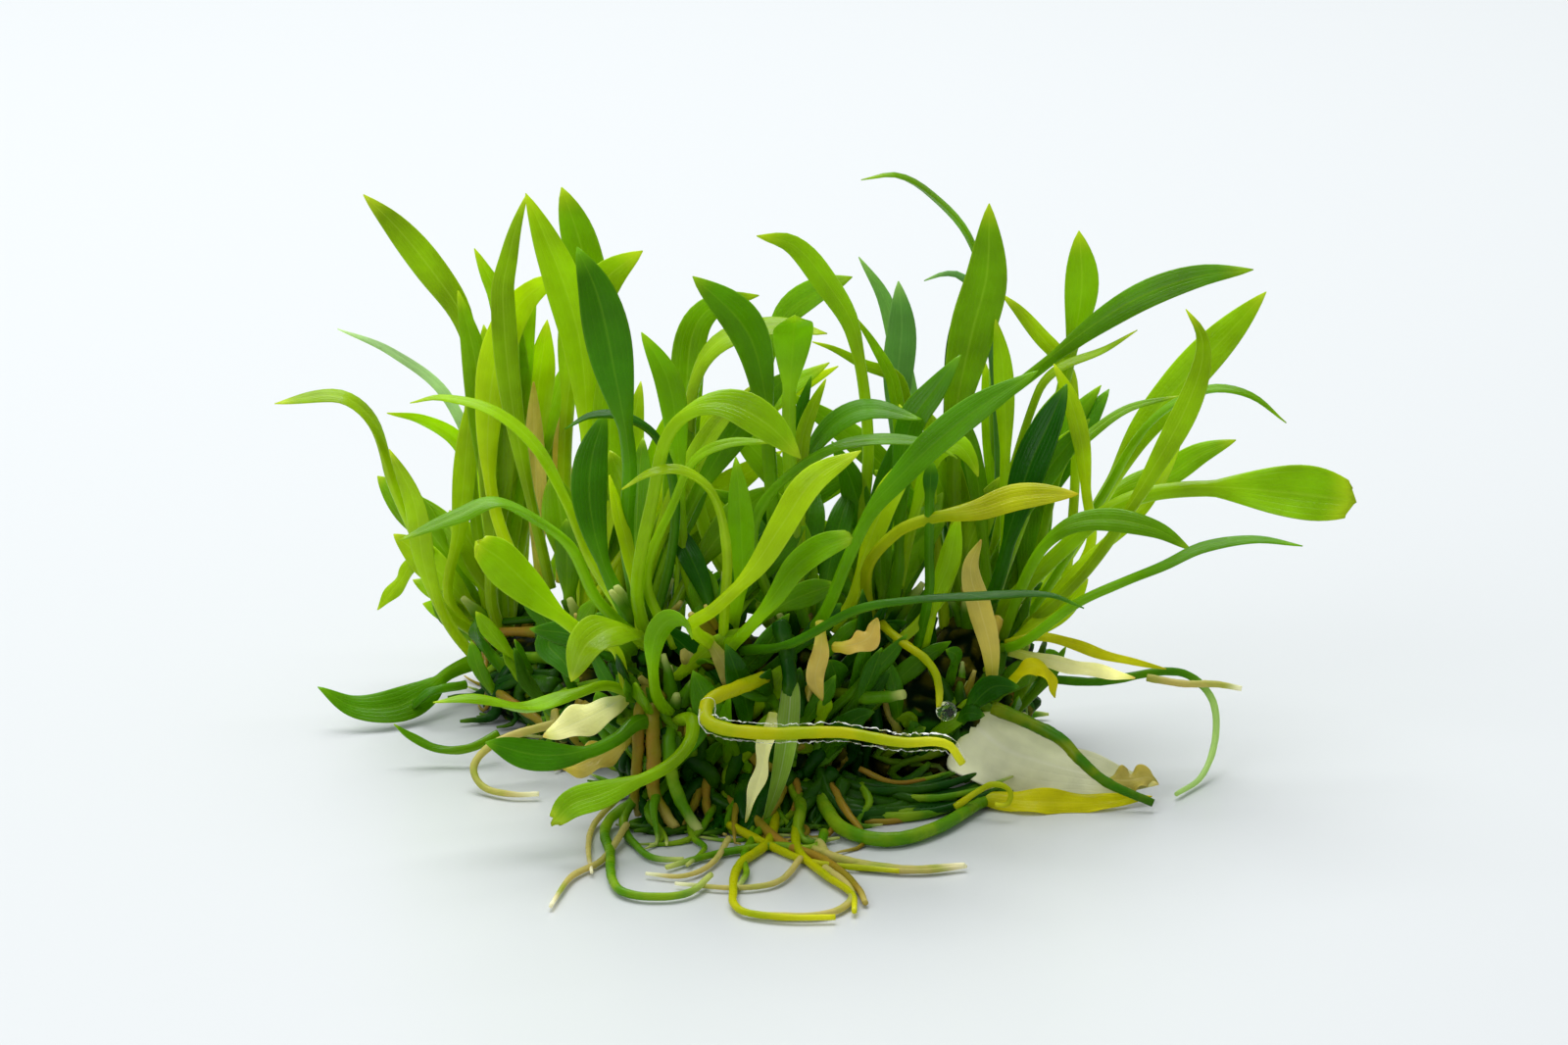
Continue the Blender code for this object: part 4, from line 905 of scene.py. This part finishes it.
BRIGHT_ROUTE = ((-1.1, -4.2, 8.4), (-2.9, -8, 8.9), (-4.1, -9.5, 8.7), (-3.9, -11, 8), (-1, -12, 7.8),
                (3.1, -12.5, 8),
                (6.3, -13, 7.6), (8.6, -13.5, 7.7), (9.5, -13.5, 6.6))
grow_root("root_bright", YELLOW_ROOT, 0.4, BRIGHT_ROUTE)
grow_root("root_left_hook", GREEN_ROOT, 0.3,
          ((-7.4, -3.4, 1.6), (-9.6, -5, 0.5), (-9.4, -10, 0.36), (-8.9, -15.6, 0.36), (-7.5, -17, 0.36),
           (-5.2, -16.6, 0.36), (-3.9, -14, 0.5)))
grow_root("root_front_loop", YELLOW_ROOT, 0.28,
          ((-0.4, -3.6, 0.9), (-0.8, -8, 0.36), (-2.4, -12, 0.36), (-2.7, -16, 0.36), (-2.3, -19.2, 0.36),
           (0, -20.3, 0.36), (2.7, -20.3, 0.36)))
grow_root("root_front_return", YELLOW_ROOT, 0.26,
          ((0.9, -3.6, 0.9), (0.7, -9, 0.36), (2.2, -13.6, 0.36), (3.6, -16.6, 0.36), (3.7, -19.4, 0.36)))
grow_root("root_front_right", CLEAR_ROOT, 0.26,
          ((1.9, -8.4, 0.4), (2.6, -10.6, 0.36), (6.3, -12.6, 0.36), (9.7, -12, 0.36)))
grow_root("root_right_thin", FADING_ROOT, 0.25,
          ((14, 5.6, 5.4), (17.6, 5.4, 5.2), (22.1, 6, 5.6), (24, 6, 4.2), (24.3, 5.2, 2.1), (23.4, 2.8, 0.5),
           (21.8, 0, 0.36)), fade=1.7)
grow_root("root_left_loop", CLEAR_ROOT, 0.25,
          ((-12.8, 4, 3.2), (-15.9, 3, 2.5), (-17.3, 2, 1.4), (-16.8, 1, 0.5), (-15.2, 0, 0.36),
           (-13.6, 0, 0.36)))
grow_root("runner_floor", GREEN_ROOT, 0.4,
          ((2, -3.2, 1.2), (3.2, -6.6, 0.6), (5.6, -8.2, 0.5), (8.3, -6.2, 0.5), (10.7, -2.2, 0.5),
           (12.6, 0.4, 0.5),
           (15.2, 1.2, 0.5), (19, 0.8, 0.4)))
grow_root("runner_right", RUNNER, 0.38,
          ((11.6, 1.6, 4.9), (13.6, 1, 4.2), (15.4, 0, 3.5), (16.3, -0.8, 2.7), (17.8, -1.6, 1.6),
           (20.4, -2, 0.5)))
# Thinner roots on the surface, with no solids of their own. Each row: name, colour, radius, way points.
THIN_ROOTS = (
    ("left_leg", GREEN_ROOT, 0.26, ((-8, -3.4, 1.8), (-8.8, -5, 0.4), (-7.7, -9.5, 0.3), (-6.8, -10.8, 0.3),
                                    (-5.4, -10.9, 0.3))),
    ("cross", GREEN_ROOT, 0.26, ((2.2, -7, 0.5), (1.6, -9.1, 0.3), (-0.5, -8.7, 0.3), (-3.2, -9.7, 0.3),
                                 (-5, -11, 0.3), (-6.3, -12.2, 0.3))),
    ("far_left", CLEAR_ROOT, 0.2, ((-8.6, -6, 0.6), (-9.8, -11, 0.3), (-11.3, -13.5, 0.3),
                                   (-11.9, -16.1, 0.3), (-12.3, -18.4, 0.3))),
    ("left_outside", CLEAR_ROOT, 0.18, ((-9, -2, 1), (-10.4, -5, 0.3), (-10.6, -9, 0.3), (-10.3, -13, 0.3))),
    ("tan_hook", TAN_ROOT, 0.28, ((-1.6, -5.6, 0.8), (0, -8.4, 0.3), (1.9, -10.6, 0.3), (3.2, -13.3, 0.3),
                                  (4, -15.9, 0.3), (4.3, -17.9, 0.3))),
    ("middle_right", YELLOW_ROOT, 0.24, ((-3, -6, 0.6), (-0.5, -9, 0.3), (1.5, -11.4, 0.3), (3.1, -12, 0.3),
                                         (6.2, -12.8, 0.3))),
    ("pale_right", CLEAR_ROOT, 0.2, ((1.6, -9.4, 0.4), (4.6, -12.2, 0.3), (7.4, -12.8, 0.3),
                                     (9.8, -12, 0.3))),
    ("tan_loop", CLEAR_ROOT, 0.22, ((2.2, -12.6, 0.4), (3.4, -15.2, 0.3), (3.5, -17.6, 0.3),
                                    (2.2, -19.6, 0.3), (-0.4, -19.8, 0.3), (-2.2, -19.2, 0.3))),
    ("left_pale", CLEAR_ROOT, 0.18, ((-3, -8, 0.5), (-3.9, -11.6, 0.3), (-5.4, -13.6, 0.3),
                                     (-7.4, -13.2, 0.3))),
    ("low_pale", CLEAR_ROOT, 0.18, ((0.9, -11, 0.4), (-0.4, -14.6, 0.3), (-2.6, -15.5, 0.3),
                                    (-5.8, -14.8, 0.3))),
    ("second_leg", GREEN_ROOT, 0.2, ((-5.2, -4, 0.9), (-5, -7, 0.3), (-4.3, -9, 0.3), (-5.2, -11.8, 0.3))),
    ("first_green", GREEN_ROOT, 0.24, ((-0.6, -5, 0.8), (-1.8, -8, 0.3), (-2.2, -11, 0.3), (-2, -13, 0.3),
                                       (-2.5, -15.6, 0.3))),
)
for name, skin, radius, knots in THIN_ROOTS:
    grow_root("thin_root_" + name, skin, radius, knots, False)


# Rooted stems and short roots
# Short stems join the crowns to the knot, and dozens of short brown, tan and green roots run down its sides
# to the surface. They lie against the knot's own shape and are joined in one piece of each colour.
SPINE = ((-14.4, 17.0), (-9.6, 10.2), (-6.0, 3.4), (-1.0, 2.0), (5.6, 6.0), (10.8, 10.6))
ROOT_LEVELS = (5.4, 3.8, 2.2, 1.0)
FAR_OFF = 40.0
STRAND_TIP = 0.2

bpy.context.view_layer.update()


def knot_side(x, y, angle, level, clear):
    """The point on the knot's side in a direction at a level, held a little clear of it, or None."""
    outward = Vector((math.cos(angle), math.sin(angle), 0))
    start = Vector((x, y, level)) + outward * FAR_OFF
    hit, place = knot.ray_cast(start * MM, -outward)[:2]
    return place / MM + outward * clear if hit else None


def join_pieces(pieces, name, skin):
    """Joins pieces in one, and finishes it."""
    bpy.ops.object.select_all(action="DESELECT")
    for piece in pieces:
        piece.select_set(True)
    bpy.context.view_layer.objects.active = pieces[0]
    bpy.ops.object.join()
    pieces[0].name = name
    finish_piece(pieces[0], skin)


def grow_short_roots(name, skin, count, radii, reach, seed):
    """Short roots that leave the knot's side, run down it and end on the surface."""
    chance = random.Random(seed)
    strands = []
    while len(strands) < count:
        spot = chance.uniform(0, len(SPINE) - 1.001)
        near, far = Vector(SPINE[int(spot)]), Vector(SPINE[int(spot) + 1])
        x, y = near.lerp(far, spot % 1)
        angle = chance.uniform(0, math.tau)
        radius = chance.uniform(*radii)
        top = chance.randrange(len(ROOT_LEVELS) - 1)
        knots = []
        for level in ROOT_LEVELS[top:]:
            place = knot_side(x, y, angle + chance.uniform(-0.12, 0.12), level, radius * 0.5)
            if place:
                knots.append(place)
        if len(knots) < 2:
            continue
        outward = Vector((math.cos(angle), math.sin(angle), 0))
        turn = chance.uniform(-1.2, 1.2)
        length = chance.uniform(*reach)
        foot = knots[-1]
        for share in (0.3, 0.65, 1.0):
            heading = Vector((math.cos(angle + turn * share), math.sin(angle + turn * share), 0))
            foot = foot + heading * length / 3
            foot.z = radius * 0.8
            knots.append(foot.copy())
        strands.append(lay_strand("%s_%d" % (name, len(strands)), short_blank, SHORT_RINGS, radius, knots,
                                  STRAND_TIP, 0.3))
    join_pieces(strands, name, skin)


def grow_crown_stems(name, skin, count, seed):
    """Stout stem ends that fill each crown between its leaf stalks."""
    chance = random.Random(seed)
    stems = []
    for crown, (centre, radius) in CROWNS.items():
        for number in range(count):
            angle = chance.uniform(0, math.tau)
            lean = chance.uniform(0.15, 0.9)
            outward = Vector((math.cos(angle) * lean, math.sin(angle) * lean, 1)).normalized()
            aside = Vector((math.cos(angle), math.sin(angle), 0)) * radius * 0.45
            low = Vector(centre) + aside - Vector((0, 0, radius))
            middle = Vector(centre) + outward * radius * 0.7
            top = Vector(centre) + outward * (radius + chance.uniform(0.3, 2.4))
            stems.append(lay_strand("%s_%s_%d" % (name, crown, number), short_blank, SHORT_RINGS,
                                    chance.uniform(0.35, 0.75), (low, middle, top), 0.25, 0.3))
    join_pieces(stems, name, skin)


grow_crown_stems("stem_ends_green", GREEN_ROOT, 4, "green ends")
grow_crown_stems("stem_ends_dark", DARK_ROOT, 3, "dark ends")
grow_crown_stems("stem_ends_tan", TAN_ROOT, 2, "tan ends")
grow_short_roots("short_roots_dark", DARK_ROOT, 60, (0.2, 0.5), (0.6, 2.6), "dark roots")
grow_short_roots("short_roots_green", GREEN_ROOT, 22, (0.18, 0.4), (1.0, 4.0), "green roots")
grow_short_roots("short_roots_tan", TAN_ROOT, 30, (0.15, 0.4), (0.6, 3.2), "tan roots")


def grow_mat(name, skin, count, radii, row, seed):
    """Short roots that spread over the surface from a row before the knot: its ends, and their reach."""
    chance = random.Random(seed)
    left, right, near, far = row
    strands = []
    for number in range(count):
        x = chance.uniform(left, right)
        radius = chance.uniform(*radii)
        start = Vector((x, -1.6 - chance.uniform(0, 1), chance.uniform(0.6, 2.4)))
        foot = Vector((x + chance.gauss(0, 1.2), chance.uniform(near, far), radius * 0.8))
        middle = start.lerp(foot, 0.5) + Vector((chance.gauss(0, 0.5), 0, chance.uniform(-0.2, 0.5)))
        end = foot + Vector((chance.gauss(0, 1.4), chance.gauss(-0.2, 0.8), 0))
        end.z = radius * 0.8
        strands.append(lay_strand("%s_%d" % (name, number), short_blank, SHORT_RINGS, radius,
                                  (start, middle, foot, end), STRAND_TIP, 0.3))
    join_pieces(strands, name, skin)


grow_mat("mat_dark", DARK_ROOT, 46, (0.25, 0.5), (-7.4, 4.2, -3.6, -6.6), "dark mat")
grow_mat("mat_green", GREEN_ROOT, 16, (0.2, 0.36), (-6.8, 4.4, -4.6, -8), "green mat")
grow_mat("mat_tan", TAN_ROOT, 16, (0.18, 0.34), (-7.2, 4.4, -4, -8), "tan mat")


def grow_creeping(name, skin, count, radii, seed):
    """Stalks that lie along the surface in front of the knot's right half, side by side, like combed hair."""
    chance = random.Random(seed)
    strands = []
    for number in range(count):
        radius = chance.uniform(*radii)
        row = chance.random()
        left = Vector((chance.uniform(0.5, 5), -0.6 - 3.2 * row, chance.uniform(0.4, 2.6) * (1.1 - row)))
        right = Vector((left.x + chance.uniform(4, 8), 1.4 - 3.4 * row,
                        radius + chance.uniform(0, 2.2) * (1 - row)))
        sag = Vector((0, -chance.uniform(0.6, 1.6), -0.3))
        knots = [left, left.lerp(right, 0.35) + sag, left.lerp(right, 0.7) + sag * 0.8, right]
        for knot in knots:
            knot.z = max(knot.z, radius)
        strands.append(lay_strand("%s_%d" % (name, number), short_blank, SHORT_RINGS, radius, knots,
                                  0.3, 0.2))
    join_pieces(strands, name, skin)


grow_creeping("creeping_dark", DARK_ROOT, 34, (0.25, 0.5), "dark creeping")
grow_creeping("creeping_green", GREEN_ROOT, 14, (0.2, 0.38), "green creeping")
grow_creeping("creeping_tan", TAN_ROOT, 5, (0.16, 0.28), "tan creeping")


# Young shoots at the base
# Short leaves and stalks grow out of the knot itself, on all sides and thickest in front, and hide most of
# it.
SHOOT_SIDES = 12
SHOOT_RINGS = 18
shoot_blank = ringed_cylinder("shoot_blank", SHOOT_SIDES, SHOOT_RINGS)


def grow_shoots(name, skin, count, lengths, widths, seed):
    """Short leaves that leave the knot's side and turn up, joined in one piece of each colour."""
    chance = random.Random(seed)
    shoots = []
    while len(shoots) < count:
        spot = chance.uniform(0, len(SPINE) - 1.001)
        near, far = Vector(SPINE[int(spot)]), Vector(SPINE[int(spot) + 1])
        x, y = near.lerp(far, spot % 1)
        angle = chance.uniform(0, math.tau) if chance.random() < 0.35 else chance.uniform(-2.6, -0.6)
        foot = knot_side(x, y, angle, chance.uniform(0.8, 7.5), -0.3)
        if not foot:
            continue
        length = chance.uniform(*lengths)
        outward = Vector((math.cos(angle), math.sin(angle), 0))
        aside = Vector((-outward.y, outward.x, 0)) * chance.gauss(0, 0.45)
        middle = foot + (outward * 0.28 + aside * 0.5 + Vector((0, 0, 0.4))) * length
        lean = outward * chance.uniform(0.25, 0.5) + aside
        rise = Vector((0, 0, chance.uniform(0.4, 0.85)))
        tip = foot + (lean + rise) * length
        shoots.append(grow_leaf("%s_%d" % (name, len(shoots)), None, skin, chance.uniform(*widths),
                                chance.uniform(0.15, 0.5), outward + Vector((0, 0, 0.4)),
                                (foot, middle, tip), wave=INNER_WAVE, blank=shoot_blank,
                                rings=SHOOT_RINGS, finished=False))
    join_pieces(shoots, name, skin)


grow_shoots("shoots_deep", DEEP, 46, (3, 8), (1.0, 2.0), "deep shoots")
grow_shoots("shoots_dark", DARK, 46, (3, 8), (0.9, 1.9), "dark shoots")
grow_shoots("shoots_mid", MID, 30, (2.5, 7), (0.8, 1.7), "mid shoots")
grow_shoots("shoots_lime", LIME, 16, (2.5, 6), (0.8, 1.6), "lime shoots")
grow_shoots("shoots_dry", TAN, 12, (2, 5), (0.7, 1.3), "dry shoots")


# Collapsed stalks in front
# Two collapsed old stalks hang in front of the knot, one nearly clear and one bleached. Brown and green
# stalks stand beside them, and a root with a drop at its tip.
# Its near-white vein colour is the stalk's own pale streaking together with painted highlights along its ribs
# and margins.
COLLAPSED = leaf_skin("collapsed_stalk", (0.28, 0.44, 0.06), (0.20, 0.40, 0.02), (0.92, 0.92, 0.80),
                      (0.60, 0.66, 0.36), 0.5)
grow_leaf("stalk_front_clear", None, COLLAPSED, 1.15, 0.04, FRONT,
          ((0.4, -4, 8.6), (0.3, -5.2, 7), (0.1, -5.8, 5.2), (-0.3, -6.2, 3.2), (-0.9, -5.8, 1.2),
           (-1.2, -5.4, 0.4)),
          fold=0.5, wave=0.25, skew=0.7)
grow_leaf("stalk_front_husk", None, PALE, 0.95, 0.04, FRONT_LEFT,
          ((-0.6, -5.4, 6.8), (-0.9, -6.4, 5.2), (-1.3, -6.9, 3.6), (-1.8, -7.1, 2.2), (-2.1, -6.8, 1)),
          fold=0.6, wave=0.3, skew=0.8)
STEMS = (
    ("stem_front_dark", DARK_ROOT, 0.5, ((-0.2, -2.4, 11), (0.2, -3.6, 9.6), (0.3, -4.6, 7.8),
                                         (0.2, -5, 6.4))),
    ("stem_left_first", TAN_ROOT, 0.34, ((-7.6, -2.8, 7.4), (-7.9, -4, 6.2), (-8, -4.4, 4.1), (-8.2, -4, 1.7),
                                         (-8, -3.6, 0.4))),
    ("stem_left_second", TAN_ROOT, 0.42, ((-6.8, -2.8, 7), (-7.2, -4, 6.2), (-7.1, -4.6, 4.2),
                                          (-7.1, -4.6, 1.9), (-5.9, -6, 0.4))),
    ("stem_left_third", GREEN_ROOT, 0.4, ((-6.2, -2.8, 6), (-6.3, -4.2, 4.6), (-6.1, -4.8, 2.8),
                                          (-5.4, -5.6, 1.3), (-4.6, -6.6, 0.4))),
    ("stem_bud_right", GREEN_ROOT, 0.4, ((3, 0.6, 6), (4.3, -1, 6.3), (5.7, -1.5, 6.5), (6.6, -2, 6.8))),
    ("stem_floor_curl", YELLOW_ROOT, 0.18, ((9.4, -3.6, 0.8), (10.8, -3, 1.6), (11.6, -3.2, 2),
                                            (12.4, -3.4, 1.7), (12.3, -3.6, 1), (11.6, -3.7, 1))),
    ("stem_right_tip", CLEAR_ROOT, 0.22, ((20.4, 5.2, 5.5), (22.4, 4.4, 5.4), (24.2, 4, 5.5),
                                          (25.6, 3.8, 5.3))),
    ("root_with_drop", YELLOW_ROOT, 0.26, ((5.2, 1.4, 10), (6.6, -1, 9.4), (7.7, -2, 8.9), (8.3, -2.6, 8.2),
                                           (8.5, -2.9, 7.2), (8.5, -3.1, 6.4))),
)
for name, skin, radius, knots in STEMS:
    finish_piece(lay_strand(name, strand_blank, STRAND_RINGS, radius, knots, 0.7, 0.2), skin)


# Clear gel on the bright root, and the drop
# A thin coat of growing gel clings to the bright root, uneven and clear, and white at its rim with a painted
# reflection of the bright surroundings; a round drop of it hangs from the tip of the short root beside it.
GEL_SIDES = 16
GEL_RINGS = 150
GEL_THICKNESS = 0.16
DROP_RADIUS = 0.58
DROP_CENTRE = (8.9, -3.1, 6.2)

gel_skin = bpy.data.materials.new("clear_gel")
gel_skin.use_nodes = True
gel_tree = gel_skin.node_tree
gel_shader = gel_tree.nodes["Principled BSDF"]
gel_shader.inputs["Base Color"].default_value = (0.98, 1.0, 0.96, 1)
gel_shader.inputs["Roughness"].default_value = 0.3
gel_shader.inputs["Specular IOR Level"].default_value = 0.2
gel_shader.inputs["IOR"].default_value = 1.34
gel_shader.inputs["Subsurface Weight"].default_value = 1.0
gel_shader.inputs["Subsurface Radius"].default_value = (1.0, 1.0, 1.0)
gel_shader.inputs["Subsurface Scale"].default_value = 0.8 * MM
grains = noise_node(gel_tree, gel_tree.nodes.new("ShaderNodeTexCoord").outputs["Object"], 3000.0, 2.0)
gel_bump = add_node(gel_tree, "ShaderNodeBump", None, {"Strength": 0.6, "Distance": 0.1 * MM})
gel_tree.links.new(grains, gel_bump.inputs["Height"])
gel_tree.links.new(gel_bump.outputs["Normal"], gel_shader.inputs["Normal"])
# Painted reflection: the gel turns opaque white where its surface turns away from the view.
painted_rim_facing = add_node(gel_tree, "ShaderNodeLayerWeight", None, {"Blend": 0.4})
gel_tree.links.new(gel_bump.outputs["Normal"], painted_rim_facing.inputs["Normal"])
gel_tree.links.new(ramp_node(gel_tree, painted_rim_facing.outputs["Facing"], 0.5, 0.85, 0.0, 0.95),
                   gel_shader.inputs["Alpha"])

gel_blank = ringed_cylinder("gel_blank", GEL_SIDES, GEL_RINGS)
stations, length = even_stations(smooth_path(BRIGHT_ROUTE[2:], 12), GEL_RINGS)


def gel_section(along, side, up):
    frill = noise.noise(Vector((along * length * 2.6, side * 1.6, up * 1.6)))
    fine = noise.noise(Vector((along * length * 6.5, side * 3.0, up * 3.0)))
    root = 0.4 * (1 - (1 - ROOT_END) * (0.3 + 0.7 * along) ** 2)
    ends = min(1.0, along * 9, (1 - along) * 9)
    size = root + 0.03 + GEL_THICKNESS * ends * (0.75 + 0.7 * frill + 0.5 * fine) * (1 + 0.5 * along)
    return (side * size, up * size, 0.0), (side, along, 0.0, up, 0.0)


gel = bend_blank(gel_blank, "gel_on_bright_root", GEL_RINGS, stations,
                 carried_frames(stations, 0, (0.0, 0.0, 1.0)), gel_section)
finish_piece(gel, gel_skin)

bpy.ops.object.select_all(action="DESELECT")
bpy.ops.mesh.primitive_uv_sphere_add(segments=32, ring_count=20, radius=DROP_RADIUS * MM)
drop = bpy.context.object
drop.name = "gel_drop"
bpy.ops.object.mode_set(mode="EDIT")
bpy.ops.mesh.select_all(action="SELECT")
bpy.ops.transform.resize(value=(1.0, 1.0, 0.94))
bpy.ops.transform.translate(value=[value * MM for value in DROP_CENTRE])
bpy.ops.object.mode_set(mode="OBJECT")
drop.data.shade_smooth()
drop_skin = bpy.data.materials.new("clear_drop")
drop_skin.use_nodes = True
drop_shader = drop_skin.node_tree.nodes["Principled BSDF"]
drop_shader.inputs["Base Color"].default_value = (0.94, 1.0, 0.80, 1)
drop_shader.inputs["Roughness"].default_value = 0.03
drop_shader.inputs["IOR"].default_value = 1.34
drop_shader.inputs["Transmission Weight"].default_value = 1.0
finish_piece(drop, drop_skin)

for blank in (leaf_blank, strand_blank, short_blank, shoot_blank, gel_blank):
    bpy.data.objects.remove(blank, do_unlink=True)


# Surface, light and camera
# A plain pale surface, a broad soft light from above and behind, and the photograph's low view from in front.
VIEW_HEIGHT = math.radians(16)
VIEW_DISTANCE = 340
VIEW_TARGET = (0.0, 0.0, 16.05)
FOCAL_PIXELS = 6324
PHOTO_WIDTH = 1600
SENSOR = 36

bpy.ops.object.select_all(action="DESELECT")
bpy.ops.mesh.primitive_plane_add(size=6.0)
surface = bpy.context.object
surface.name = "surface"
surface_skin = bpy.data.materials.new("pale_surface")
surface_skin.use_nodes = True
surface_shader = surface_skin.node_tree.nodes["Principled BSDF"]
surface_shader.inputs["Base Color"].default_value = (0.525, 0.545, 0.555, 1)
surface_shader.inputs["Roughness"].default_value = 0.35
surface.data.materials.append(surface_skin)

bpy.context.scene.world = bpy.data.worlds.new("studio")
bpy.context.scene.world.use_nodes = True
sky = bpy.context.scene.world.node_tree.nodes["Background"]
sky.inputs["Color"].default_value = (0.94, 0.98, 1.0, 1)
sky.inputs["Strength"].default_value = 0.5

# Name, place in millimetres, size in millimetres, power in watts
LIGHTS = (
    ("top_softbox", (-60, 230, 460), 420, 4.0),
    ("front_softbox", (-300, -320, 360), 300, 0.9),
)
for name, place, size, power in LIGHTS:
    light = bpy.data.lights.new(name, "AREA")
    light.size = size * MM
    light.energy = power
    lamp = bpy.data.objects.new(name, light)
    lamp.location = Vector(place) * MM
    aim = Vector(VIEW_TARGET) - Vector(place)
    lamp.rotation_euler = aim.to_track_quat("-Z", "Y").to_euler()
    bpy.context.scene.collection.objects.link(lamp)

camera_data = bpy.data.cameras.new("studio_camera")
camera_data.sensor_width = SENSOR
camera_data.lens = FOCAL_PIXELS * SENSOR / PHOTO_WIDTH
camera_data.clip_start = 0.01
camera = bpy.data.objects.new("studio_camera", camera_data)
backwards = Vector((0, -math.cos(VIEW_HEIGHT), math.sin(VIEW_HEIGHT)))
camera.location = (Vector(VIEW_TARGET) + VIEW_DISTANCE * backwards) * MM
camera.rotation_euler = (math.pi / 2 - VIEW_HEIGHT, 0, 0)
bpy.context.scene.collection.objects.link(camera)
bpy.context.scene.camera = camera
bpy.context.scene.view_settings.view_transform = "Standard"
